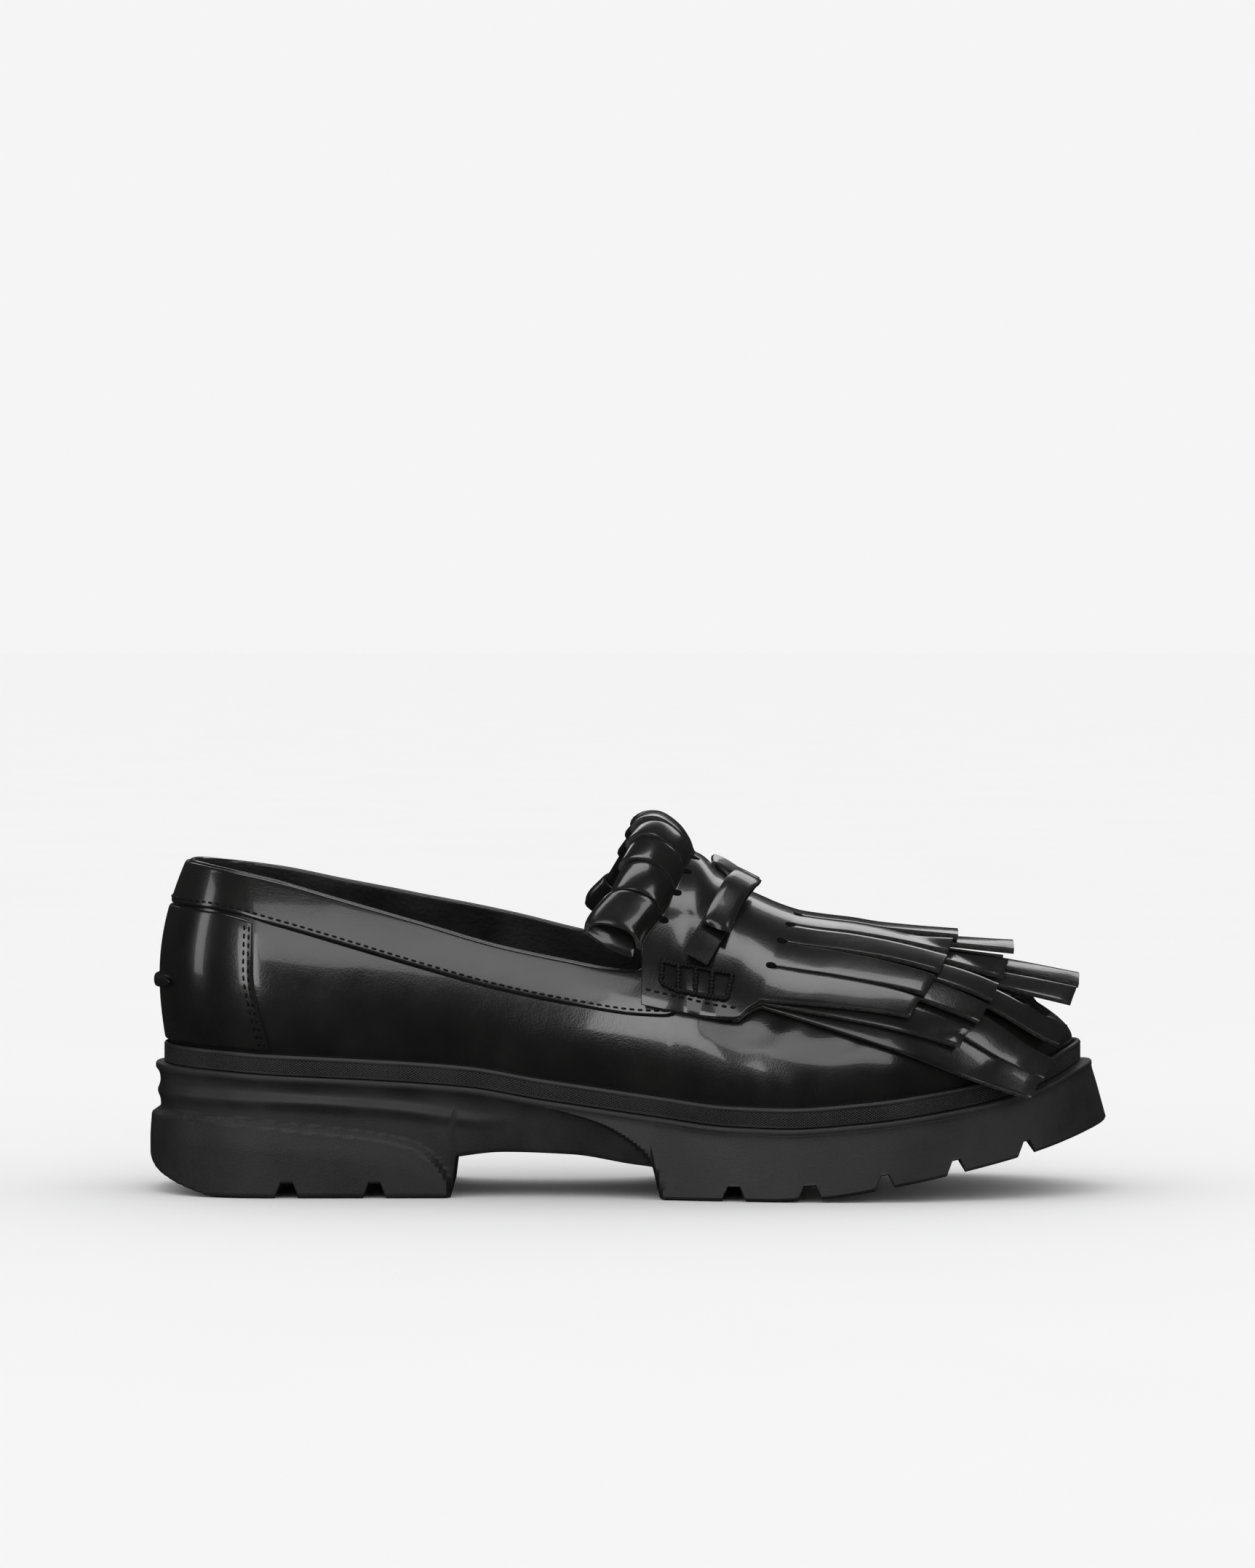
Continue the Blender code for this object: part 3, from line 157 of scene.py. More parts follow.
# Heel block and ball panel on the side of the sole: share of the length, height of their edge
BLOCK_TOP = (
    (0.00, 0.650 * HEEL_SEAT),
    (0.07, 0.625 * HEEL_SEAT),
    (0.17, 0.555 * HEEL_SEAT),
    (0.235, 0.500 * HEEL_SEAT),
    (0.277, 0.432 * HEEL_SEAT),
    (0.297, 0.338 * HEEL_SEAT),
    (0.307, 0.250 * HEEL_SEAT),
    (0.315, 0.130 * HEEL_SEAT),
    (0.318, 0.000 * HEEL_SEAT),
)
SIDE_RIDGE = (
    (0.00, 0.775 * HEEL_SEAT),
    (0.17, 0.725 * HEEL_SEAT),
    (0.26, 0.675 * HEEL_SEAT),
    (0.34, 0.590 * HEEL_SEAT),
)
PANEL_BACK = (
    (0.00 * HEEL_SEAT, 0.5290),
    (0.19 * HEEL_SEAT, 0.5240),
    (0.26 * HEEL_SEAT, 0.5200),
    (0.35 * HEEL_SEAT, 0.5120),
    (0.42 * HEEL_SEAT, 0.5010),
    (0.51 * HEEL_SEAT, 0.4830),
    (0.58 * HEEL_SEAT, 0.4640),
    (0.70 * HEEL_SEAT, 0.4100),
)

# Last: share of the length, height of the ridge, fullness, bulge, share of the rise it fills
LAST = (
    (0.00, 1.48 * INSTEP_HEIGHT, 1.45, 0.0290 * BALL_WIDTH, 0.56),
    (0.12, 1.38 * INSTEP_HEIGHT, 1.20, 0.0260 * BALL_WIDTH, 0.56),
    (0.33, 1.20 * INSTEP_HEIGHT, 1.00, 0.0180 * BALL_WIDTH, 0.60),
    (0.48, 1.06 * INSTEP_HEIGHT, 0.94, 0.0240 * BALL_WIDTH, 0.66),
    (0.54, 1.015 * INSTEP_HEIGHT, 0.94, 0.0280 * BALL_WIDTH, 0.72),
    (0.565, 1.000 * INSTEP_HEIGHT, 0.94, 0.0280 * BALL_WIDTH, 0.75),
    (0.585, 0.946 * INSTEP_HEIGHT, 0.94, 0.0280 * BALL_WIDTH, 0.80),
    (0.615, 0.870 * INSTEP_HEIGHT, 0.94, 0.0260 * BALL_WIDTH, 0.85),
    (0.645, 0.823 * INSTEP_HEIGHT, 0.93, 0.0240 * BALL_WIDTH, 0.90),
    (0.680, 0.789 * INSTEP_HEIGHT, 0.92, 0.0220 * BALL_WIDTH, 0.90),
    (0.760, 0.742 * INSTEP_HEIGHT, 0.90, 0.0180 * BALL_WIDTH, 0.90),
    (0.840, 0.682 * INSTEP_HEIGHT, 0.88, 0.0100 * BALL_WIDTH, 0.90),
    (0.920, 0.618 * INSTEP_HEIGHT, 0.86, 0.0040 * BALL_WIDTH, 0.90),
    (1.000, 0.545 * INSTEP_HEIGHT, 0.85, 0.0020 * BALL_WIDTH, 0.90),
)
RIDGE_SKEW = (
    (0.00, 0.000 * BALL_WIDTH),
    (0.35, 0.010 * BALL_WIDTH),
    (0.60, 0.035 * BALL_WIDTH),
    (0.85, 0.010 * BALL_WIDTH),
    (1.00, 0.000 * BALL_WIDTH),
)

# Topline: share of the length, height outside, height inside
TOPLINE = (
    (0.000, 1.000 * HEEL_BACK_HEIGHT, 1.000 * HEEL_BACK_HEIGHT),
    (0.040, 0.996 * HEEL_BACK_HEIGHT, 0.998 * HEEL_BACK_HEIGHT),
    (0.075, 0.980 * HEEL_BACK_HEIGHT, 0.986 * HEEL_BACK_HEIGHT),
    (0.135, 0.943 * HEEL_BACK_HEIGHT, 0.963 * HEEL_BACK_HEIGHT),
    (0.195, 0.893 * HEEL_BACK_HEIGHT, 0.928 * HEEL_BACK_HEIGHT),
    (0.280, 0.822 * HEEL_BACK_HEIGHT, 0.880 * HEEL_BACK_HEIGHT),
    (0.365, 0.750 * HEEL_BACK_HEIGHT, 0.831 * HEEL_BACK_HEIGHT),
    (0.440, 0.704 * HEEL_BACK_HEIGHT, 0.779 * HEEL_BACK_HEIGHT),
    (0.485, 0.680 * HEEL_BACK_HEIGHT, 0.748 * HEEL_BACK_HEIGHT),
    (0.510, 0.675 * HEEL_BACK_HEIGHT, 0.740 * HEEL_BACK_HEIGHT),
    (0.520, 0.710 * HEEL_BACK_HEIGHT, 0.765 * HEEL_BACK_HEIGHT),
    (0.532, 0.820 * HEEL_BACK_HEIGHT, 0.850 * HEEL_BACK_HEIGHT),
    (0.541, 0.940 * HEEL_BACK_HEIGHT, 0.950 * HEEL_BACK_HEIGHT),
    (0.549, 1.200 * HEEL_BACK_HEIGHT, 1.200 * HEEL_BACK_HEIGHT),
)

# Collar band: share of the length, height of its lower edge outside, inside
BAND_LOW = (
    (0.000, 0.875 * HEEL_BACK_HEIGHT, 0.875 * HEEL_BACK_HEIGHT),
    (0.075, 0.857 * HEEL_BACK_HEIGHT, 0.862 * HEEL_BACK_HEIGHT),
    (0.135, 0.812 * HEEL_BACK_HEIGHT, 0.832 * HEEL_BACK_HEIGHT),
    (0.195, 0.762 * HEEL_BACK_HEIGHT, 0.795 * HEEL_BACK_HEIGHT),
    (0.280, 0.688 * HEEL_BACK_HEIGHT, 0.746 * HEEL_BACK_HEIGHT),
    (0.365, 0.620 * HEEL_BACK_HEIGHT, 0.700 * HEEL_BACK_HEIGHT),
    (0.440, 0.575 * HEEL_BACK_HEIGHT, 0.655 * HEEL_BACK_HEIGHT),
    (0.510, 0.545 * HEEL_BACK_HEIGHT, 0.615 * HEEL_BACK_HEIGHT),
    (0.560, 0.540 * HEEL_BACK_HEIGHT, 0.600 * HEEL_BACK_HEIGHT),
)
BAND_ROUND = 0.535
BAND_END = 0.557
THROAT_SIDE = 0.510

# Front edge of the heel counter: share of the way up, share of the length
COUNTER_FRONT = (
    (0.0, 0.131),
    (0.3, 0.119),
    (0.6, 0.112),
    (1.0, 0.113),
)
COUNTER_FOOT = 0.008
COUNTER_GAP = 0.0007
TAB_LOW = 0.618 * HEEL_BACK_HEIGHT
TAB_HIGH = 0.655 * HEEL_BACK_HEIGHT
TAB_REACH = 0.47

# Kiltie sizes
KILTIE_LEATHER = 0.0016
KILTIE_GAP = 0.0008
KILTIE_SEAT = 0.0009
STRIP_AIR = 0.0012
STRIPS = 5
STRIP_GAP = 0.06
STRIP_HOLD = 0.40
STRIP_STRAIGHT = 1.15
ROW_CROWDING = 1.35
LAYER_RAMP = 0.011
LAYER_TUCK = 0.009
CURL_TUCK = 0.0040
SLOPE_RUN = 0.0040
CURL_EDGE = 0.80
CURL_SPLIT = 0.0004
LOOP_LENGTH = 0.0200
LOOP_HEIGHT = 0.0134
LOOP_LEAN = 0.50
INNER_LOOP_LIFT = 0.0060

# Lower edge of the saddle: share of the length, height
SADDLE_LOW = (
    (0.505, 0.590 * INSTEP_HEIGHT),
    (0.560, 0.560 * INSTEP_HEIGHT),
    (0.612, 0.538 * INSTEP_HEIGHT),
    (0.622, 0.560 * INSTEP_HEIGHT),
    (0.640, 0.580 * INSTEP_HEIGHT),
    (0.700, 0.560 * INSTEP_HEIGHT),
)

# Rows where the strips begin: share of the way down from the crest, share of the length
SLOT_ROW = (
    (0.0, 0.6735),
    (0.2, 0.6690),
    (0.4, 0.6600),
    (0.6, 0.6505),
    (0.8, 0.6400),
    (1.0, 0.6330),
)
CURL_ROW = (
    (0.00, 0.5650),
    (0.16, 0.5625),
    (0.32, 0.5555),
    (0.48, 0.5460),
    (0.64, 0.5330),
    (0.80, 0.5130),
    (1.00, 0.5130),
)

# Ends of the strips from the crest down, for the lower, middle and top layer: share of the
# length, of the ball width and of the instep height, for the upper corner and the lower corner
FRINGE = {
    "lower": (
        (0.9716, 0.006, 0.6755, 0.9690, 0.093, 0.6373),
        (0.9670, 0.102, 0.6333, 0.9581, 0.185, 0.5794),
        (0.9555, 0.204, 0.5284, 0.9427, 0.287, 0.4627),
        (0.9384, 0.306, 0.4235, 0.9250, 0.380, 0.3569),
        (0.9243, 0.390, 0.3814, 0.9099, 0.460, 0.3108),
    ),
    "middle": (
        (0.9023, 0.006, 0.7755, 0.9013, 0.102, 0.7450),
        (0.8954, 0.111, 0.7206, 0.8875, 0.194, 0.6637),
        (0.8803, 0.213, 0.6294, 0.8688, 0.296, 0.5716),
        (0.8658, 0.306, 0.5696, 0.8553, 0.380, 0.5275),
        (0.8498, 0.398, 0.5167, 0.8379, 0.468, 0.4745),
    ),
    "top": (
        (0.8445, 0.006, 0.8080, 0.8432, 0.093, 0.7890),
        (0.8380, 0.102, 0.7850, 0.8300, 0.185, 0.7420),
        (0.8268, 0.194, 0.7020, 0.8146, 0.287, 0.6400),
        (0.8107, 0.296, 0.6290, 0.7979, 0.370, 0.5755),
        (0.7956, 0.384, 0.5890, 0.7841, 0.449, 0.5450),
    ),
}

# Curl of the loops behind the saddle: shares of loop length and height at the crest, at the side
LOOP = (
    (0.09, 0.32, 0.04, 0.22),
    (0.26, 0.68, 0.14, 0.45),
    (0.54, 0.97, 0.40, 0.64),
    (0.80, 0.98, 0.68, 0.71),
    (0.97, 0.80, 0.87, 0.63),
    (0.98, 0.55, 0.89, 0.43),
    (0.70, 0.25, 0.62, 0.10),
    (0.42, 0.11, 0.38, -0.10),
    (0.20, 0.02, 0.17, -0.24),
)
LOOP_SIZES = (1.00, 0.97, 0.94, 0.92, 0.98)

# Bow sizes
BOW_WIDTH = 0.0086
BOW_LEATHER = 0.0010
KNOT_LENGTH = 0.0130
KNOT_HEIGHT = 0.0020
KNOT_PLACE = 0.5910

# Routes of the bow's ribbon: share of the length, share of the way down the side, height over it
BOW_LOOP = (
    (0.6010, 0.15, 5.4 * BOW_LEATHER),
    (0.5960, 0.26, 7.1 * BOW_LEATHER),
    (0.5870, 0.43, 7.4 * BOW_LEATHER),
    (0.5790, 0.60, 6.2 * BOW_LEATHER),
    (0.5770, 0.67, 4.6 * BOW_LEATHER),
    (0.5800, 0.63, 3.3 * BOW_LEATHER),
    (0.5880, 0.46, 2.8 * BOW_LEATHER),
    (0.5970, 0.27, 2.7 * BOW_LEATHER),
    (0.6010, 0.15, 3.4 * BOW_LEATHER),
)
BOW_TAIL = (
    (0.5990, 0.15, 0.9 * BOW_LEATHER),
    (0.5930, 0.32, 1.0 * BOW_LEATHER),
    (0.5850, 0.50, 1.3 * BOW_LEATHER),
    (0.5750, 0.66, 1.7 * BOW_LEATHER),
    (0.5650, 0.81, 2.6 * BOW_LEATHER),
)


def through(rows, column, at):
    """A smooth curve with no overshoot through one column of a table, read at some places."""
    places = np.array([row[0] for row in rows])
    values = np.array([row[column] for row in rows])
    gaps = np.diff(places)
    slopes = np.diff(values) / gaps
    product = slopes[:-1] * slopes[1:]
    total = np.where(product > 0, slopes[:-1] + slopes[1:], 1)
    inner = np.where(product > 0, 2 * product / total, 0)
    tangents = np.concatenate([slopes[:1], inner, slopes[-1:]])
    at = np.clip(at, places[0], places[-1])
    span = np.clip(np.searchsorted(places, at, side="right") - 1, 0, len(gaps) - 1)
    part = (at - places[span]) / gaps[span]
    start = values[span] * (1 + 2 * part) * (1 - part) ** 2
    end = values[span + 1] * (3 - 2 * part) * part**2
    lean = gaps[span] * (tangents[span] * (1 - part) - tangents[span + 1] * part)
    return start + end + lean * part * (1 - part)


def share(x):
    """Share of the length at which a place lies, from the back of the heel."""
    return (np.asarray(x, float) - BACK) / LENGTH


def place(part_of_length):
    return BACK + part_of_length * LENGTH


def ease(value, start, end):
    """0 before start, 1 after end, and smooth between."""
    part = np.clip((value - start) / (end - start), 0, 1)
    return part * part * (3 - 2 * part)


def dense_side(side):
    """Close points along one side of the flange, from the back of the heel to the toe tip."""
    steps = np.linspace(0, math.pi, 900)
    x = FLANGE_BACK + (FLANGE_FRONT - FLANGE_BACK) * (1 - np.cos(steps)) / 2
    half = through(OUTLINE, 1 if side == LATERAL else 2, share(x))
    heel_round = HEEL_ROUND * LENGTH
    toe_round = TOE_ROUND * LENGTH
    behind = np.clip(1 - (x - FLANGE_BACK) / heel_round, 0, 1)
    ahead = np.clip(1 - (FLANGE_FRONT - x) / toe_round, 0, 1)
    half = half * (1 - behind**HEEL_ROUND_POWER) ** (1 / HEEL_ROUND_POWER)
    half = half * (1 - ahead**TOE_ROUND_POWER) ** (1 / TOE_ROUND_POWER)
    return np.column_stack([x, side * half])


def outward(points, side):
    """Outward normals of one side of a plan outline."""
    tangent = np.gradient(points, axis=0)
    normal = np.column_stack([tangent[:, 1], -tangent[:, 0]]) * -side
    normal = normal / np.linalg.norm(normal, axis=1)[:, None]
    normal[0] = (-1, 0)
    normal[-1] = (1, 0)
    return normal


DENSE = {side: dense_side(side) for side in (LATERAL, MEDIAL)}
NORMALS = {side: outward(DENSE[side], side) for side in (LATERAL, MEDIAL)}


def station_of(points):
    """0 to 1 turns round the heel, 1 to 2 runs along the shoe, 2 to 3 turns round the toe."""
    x = points[:, 0]
    y = np.abs(points[:, 1])
    heel = np.arctan2(y, HEEL_PIVOT - x) / (math.pi / 2)
    middle = 1 + (x - HEEL_PIVOT) / (TOE_PIVOT - HEEL_PIVOT)
    toe = 3 - np.arctan2(y, x - TOE_PIVOT) / (math.pi / 2)
    return np.where(x < HEEL_PIVOT, heel, np.where(x > TOE_PIVOT, toe, middle))


STATIONS = {side: station_of(DENSE[side]) for side in (LATERAL, MEDIAL)}


def plan(side, station, offset):
    """Plan point at a station of the flange, moved outward by an offset."""
    known = STATIONS[side]
    x = np.interp(station, known, DENSE[side][:, 0])
    y = np.interp(station, known, DENSE[side][:, 1])
    along = np.interp(station, known, NORMALS[side][:, 0])
    across = np.interp(station, known, NORMALS[side][:, 1])
    return x + along * offset, y + across * offset


def station_at(x):
    """Station whose flange point on the outer side lies at x."""
    return float(np.interp(x, DENSE[LATERAL][:, 0], STATIONS[LATERAL]))


def flange_top(x):
    return through(FLANGE_TOP, 1, share(x))


def tread(x):
    """Height of the underside, without the grooves between the lugs."""
    where = share(x)
    arch = through(ARCH, 1, where)
    spring = through(SPRING, 1, where)
    into_arch = np.clip((where - HEEL_BREAST) / (HEEL_BREAST_TOP - HEEL_BREAST), 0, 1)
    out_of_arch = np.clip((BALL_BREAST - where) / (BALL_BREAST - BALL_BREAST_TOP), 0, 1)
    return arch * into_arch * out_of_arch + spring


def upper_inset(x):
    return UPPER_INSET + TOE_EXTRA_INSET * ease(share(x), 0.6, 1.0)


def sole_offset(x, z):
    """How far the sole's side stands out from the flange's outline at a place and height."""
    where = share(x)
    below_lip = flange_top(x) - z
    depth = np.clip(below_lip / np.maximum(flange_top(x) - tread(x), 1e-4), 0, 1)
    arch_side = -SIDE_RECESS - 2.6 * SIDE_RECESS * depth
    heel_zone = 1 - ease(where, 0.29, 0.40)
    ridge = np.exp(-(((z - through(SIDE_RIDGE, 1, where)) / (1.6 * SIDE_RECESS)) ** 2))
    heel_side = -1.3 * SIDE_RECESS + 0.8 * SIDE_RECESS * ridge
    side = arch_side * (1 - heel_zone) + heel_side * heel_zone
    block_edge = through(BLOCK_TOP, 1, where)
    block = np.clip((block_edge - z) / (1.7 * SIDE_RECESS), 0, 1) * (where < BLOCK_TOP[-1][0])
    flare = BLOCK_FLARE * (0.7 + 0.3 * ease(block_edge - z, 0, 0.25 * HEEL_SEAT))
    side = side + (flare - side) * block
    panel_back = place(through(PANEL_BACK, 1, z))
    panel = ease(x, panel_back, panel_back + PANEL_BLEND)
    lean = BALL_FLARE + (TOE_FLARE - BALL_FLARE) * ease(where, 0.80, 1.0)
    panel_side = -0.4 * SIDE_RECESS + (lean + 0.4 * SIDE_RECESS) * depth
    return side + (panel_side - side) * panel


def groove(x):
    """1 in the grooves between the lugs, 0 on the lugs."""
    depth = np.zeros_like(x)
    for where, width in LUG_GAPS:
        half = width * LUG_GAP / 2
        depth = np.maximum(depth, np.clip((half - np.abs(x - place(where))) / LUG_SLOPE, 0, 1))
    return depth


def loop_of(stations, offset, height):
    """Closed ring of points round the shoe: outer side heel to toe, then inner side back."""
    ring = []
    for side in (LATERAL, MEDIAL):
        used = stations if side == LATERAL else stations[-2:0:-1]
        flange_x, _ = plan(side, used, 0.0)
        x, y = plan(side, used, offset(flange_x))
        ring.append(np.column_stack([x, y, height(flange_x, x)]))
    return np.vstack(ring)


def cap_faces(start, count, stations_count, turned):
    """Quads straight across a ring, between the stations of its two sides."""
    faces = []
    last = stations_count - 1
    for index in range(last):
        near = [start + index, start + index + 1]
        far = [start + (count - index - 1) % count, start + (count - index) % count]
        corners = [near[0], near[1], far[0], far[1]]
        kept = []
        for corner in corners:
            if corner not in kept:
                kept.append(corner)
        faces.append(tuple(kept if turned else kept[::-1]))
    return faces


def ridge_height(x):
    return through(LAST, 1, share(x))


def last_point(side, station, turn, offset=0.0):
    """Point of the upper's outside: turn 0 at the top of the welt, 1 on the ridge."""
    base_x, base_y = plan(side, station, 0.0)
    inset = upper_inset(base_x)
    base_x, base_y = plan(side, station, -inset)
    pivot_x = np.clip(HEEL_PIVOT + (station - 1) * (TOE_PIVOT - HEEL_PIVOT), HEEL_PIVOT, TOE_PIVOT)
    pivot_y = through(RIDGE_SKEW, 1, share(pivot_x))
    flange_x, _ = plan(side, station, 0.0)
    foot = flange_top(flange_x) + WELT_HEIGHT
    run_x = base_x - pivot_x
    run_y = base_y - pivot_y
    reach = np.hypot(run_x, run_y)
    angle = turn * math.pi / 2
    fullness = through(LAST, 2, share(base_x))
    rise = np.sin(angle)
    bulge = through(LAST, 3, share(base_x))
    filled = np.clip(rise / through(LAST, 4, share(base_x)), 0, 1)
    out = np.cos(angle) ** fullness + (bulge * np.sin(math.pi * filled) + offset) / reach
    x = pivot_x + run_x * out
    y = pivot_y + run_y * out
    z = foot + (ridge_height(x) - foot) * rise
    return np.array([x, y, z])


def turn_at(side, station, height_of):
    """Turn at which a rib of the last reaches a height that depends on the place."""
    turns = np.linspace(0, 1, 241)
    x, _, z = last_point(side, station, turns)
    above = z - height_of(x)
    crossed = np.nonzero(above >= 0)[0]
    if len(crossed) == 0:
        return 1.0
    index = crossed[0]
    if index == 0:
        return 0.0
    before = above[index - 1]
    return float(turns[index - 1] + (turns[1] - turns[0]) * before / (before - above[index]))


def topline(side):
    column = 1 if side == LATERAL else 2
    return lambda x: through(TOPLINE, column, share(x))


def merged(points, faces):
    """The same faces with points that coincide made one, as where ribs meet on the toe's pivot."""
    keys = {}
    kept = []
    renamed = []
    for point in points:
        key = tuple(np.round(np.asarray(point) * 1e6).astype(int))
        if key not in keys:
            keys[key] = len(kept)
            kept.append(point)
        renamed.append(keys[key])
    clean = []
    for face in faces:
        corners = list(dict.fromkeys(renamed[corner] for corner in face))
        if len(corners) > 2:
            clean.append(tuple(corners))
    return kept, clean


def band_heights(side):
    """Heights of the collar band's lower and upper edge, drawn together at its rounded end."""
    column = 1 if side == LATERAL else 2

    def edges(x):
        where = share(x)
        low = through(BAND_LOW, column, where)
        top = through(TOPLINE, column, np.minimum(where, THROAT_SIDE))
        middle = (low + top) / 2
        near_end = np.clip((where - BAND_ROUND) / (BAND_END - BAND_ROUND), 0, 1)
        kept = np.sqrt(1 - 0.97 * near_end**2)
        return middle + (low - middle) * kept, middle + (top - middle) * kept

    return edges


def middle_station(x):
    return 1 + (x - HEEL_PIVOT) / (TOE_PIVOT - HEEL_PIVOT)


def lifted(side, station, turn, lift):
    """Point above the upper's outside by a distance along its normal."""
    step = 1e-3
    low = max(turn - step, 0.0)
    high = min(turn + step, 1.0)
    up = last_point(side, station, high) - last_point(side, station, low)
    along = last_point(side, station + step, turn) - last_point(side, station - step, turn)
    normal = np.cross(along, up) * (1 if side == LATERAL else -1)
    normal = normal / np.linalg.norm(normal)
    if turn >= 1.0:
        normal[1] = 0.0
    return last_point(side, station, turn) + normal * lift


def saddle_point(x, across, lift):
    """Point over the instep: across runs from -1 at the outer lower edge to 1 at the inner one."""
    side = LATERAL if across < 0 else MEDIAL
    station = middle_station(x)
    low = turn_at(side, station, lambda at: through(SADDLE_LOW, 1, share(at)))
    return lifted(side, station, 1 - abs(across) * (1 - low), lift)


def slot_x(across):
    return place(float(through(SLOT_ROW, 1, abs(across))))


def curl_x(across):
    return place(float(through(CURL_ROW, 1, abs(across))))


def strip_end(layer, number, edge, side):
    """End corner of a fringe strip: number 0 lies beside the crest, edge 0 is its upper corner."""
    row = FRINGE[layer][number]
    here = np.array(row[0:3] if edge == 0 else row[3:6])
    other = np.array(row[3:6] if edge == 0 else row[0:3])
    corner = here + (other - here) * STRIP_GAP
    return np.array([BACK + corner[0] * LENGTH, side * corner[1] * BALL_WIDTH,
                     corner[2] * INSTEP_HEIGHT])


def upper_samples(side):
    """Points and outward normals spread over the front of the upper."""
    stations = np.linspace(1.2, 3.0, 220)
    turns = np.linspace(0, 1, 80)
    grid = np.array([last_point(side, station, turns).T for station in stations])
    along, up = np.gradient(grid, axis=(0, 1))
    normals = np.cross(along, up) * (1 if side == LATERAL else -1)
    lengths = np.linalg.norm(normals, axis=2)
    usable = lengths > 1e-12
    return grid[usable], normals[usable] / lengths[usable][:, None]


def clear_of_upper(point, side, lift):
    """The point, or the nearest one that stands off the upper by at least the lift."""
    surface, normals = SAMPLES[side]
    nearest = np.argmin(((surface - point) ** 2).sum(axis=1))
    height = np.dot(point - surface[nearest], normals[nearest])
    return point + normals[nearest] * max(lift - height, 0.0)


def bent(start, slope, end, part, down):
    """Point of a strip's edge, which leaves its root along the saddle and bends to its end."""
    reach = np.linalg.norm(end - start)
    straight = (end - start) / reach
    kept = 1 - STRIP_STRAIGHT * abs(down)
    heading = kept * slope / np.linalg.norm(slope) + (1 - kept) * straight
    control = start + heading / np.linalg.norm(heading) * STRIP_HOLD * reach
    return (1 - part) ** 2 * start + 2 * part * (1 - part) * control + part**2 * end


def layer_lift(number, x, across):
    """Height of a layer's outside over the upper: the lowest layer is there only in front."""
    layer = KILTIE_LEATHER + KILTIE_GAP
    first = KILTIE_LEATHER + KILTIE_SEAT
    if number == 0:
        return first
    rise = ease(x - slot_x(across), -LAYER_TUCK - 2 * LAYER_RAMP, -LAYER_TUCK - 0.2 * LAYER_RAMP)
    over_band = 1 - ease(share(x), BAND_END, BAND_END + 0.015)
    over_band = over_band * ease(abs(across), 0.30, 0.60)
    stack = first + (number - 1 + rise) * layer
    return stack + over_band * (BAND_THICKNESS + SOFT_GAP)


def curled(start, side, number, down, step, cut):
    """Point of a loop's outside: step 0 lies on the saddle's rear edge."""
    if step == 0:
        return start
    crest_back, crest_up, side_back, side_up = LOOP[step - 1]
    part = down / CURL_EDGE
    size = LOOP_SIZES[number]
    back = LOOP_LENGTH * (crest_back + (side_back - crest_back) * part)
    up = LOOP_HEIGHT * (crest_up + (side_up - crest_up) * part)
    grown = 1 + (size - 1) * min(step, 5) / 5
    rise = np.array([0.0, side * LOOP_LEAN * part, 1.0])
    rise = rise / np.linalg.norm(rise)
    if side == MEDIAL:
        up = up + INNER_LOOP_LIFT * part * min(step, 5) / 5
    split = CURL_SPLIT * (1 - 2 * cut) * side
    return start + np.array([-back * grown, split, 0.0]) + rise * up * grown


def spline(before, here, there, after, part):
    """Point of a smooth curve from here to there, with the points on either side of them."""
    return 0.5 * (2 * here + (there - before) * part
                  + (2 * before - 5 * here + 4 * there - after) * part**2
                  + (3 * here - before - 3 * there + after) * part**3)


def smooth_route(points, samples, closed):
    """Points evenly spread along a smooth curve through a route."""
    points = np.array(points, float)
    if closed:
        padded = np.vstack([points[-2], points, points[1]])
    else:
        first = 2 * points[0] - points[1]
        last = 2 * points[-1] - points[-2]
        padded = np.vstack([first, points, last])
    fine = []
    for index in range(len(points) - 1):
        before, here, there, after = padded[index : index + 4]
        for part in np.linspace(0, 1, 12)[:-1]:
            fine.append(spline(before, here, there, after, part))
    fine.append(points[-1])
    fine = np.array(fine)
    run = np.concatenate([[0], np.cumsum(np.linalg.norm(np.diff(fine, axis=0), axis=1))])
    places = np.linspace(0, run[-1], samples)
    return np.column_stack([np.interp(places, run, fine[:, axis]) for axis in range(3)])


def over_saddle(side, rows):
    """Points over the kiltie from rows of share of the length, share down the side, height."""
    route = []
    for where, down, height in rows:
        x = place(where)
        route.append(saddle_point(x, side * down, layer_lift(2, x, side * down) + height))
    return route


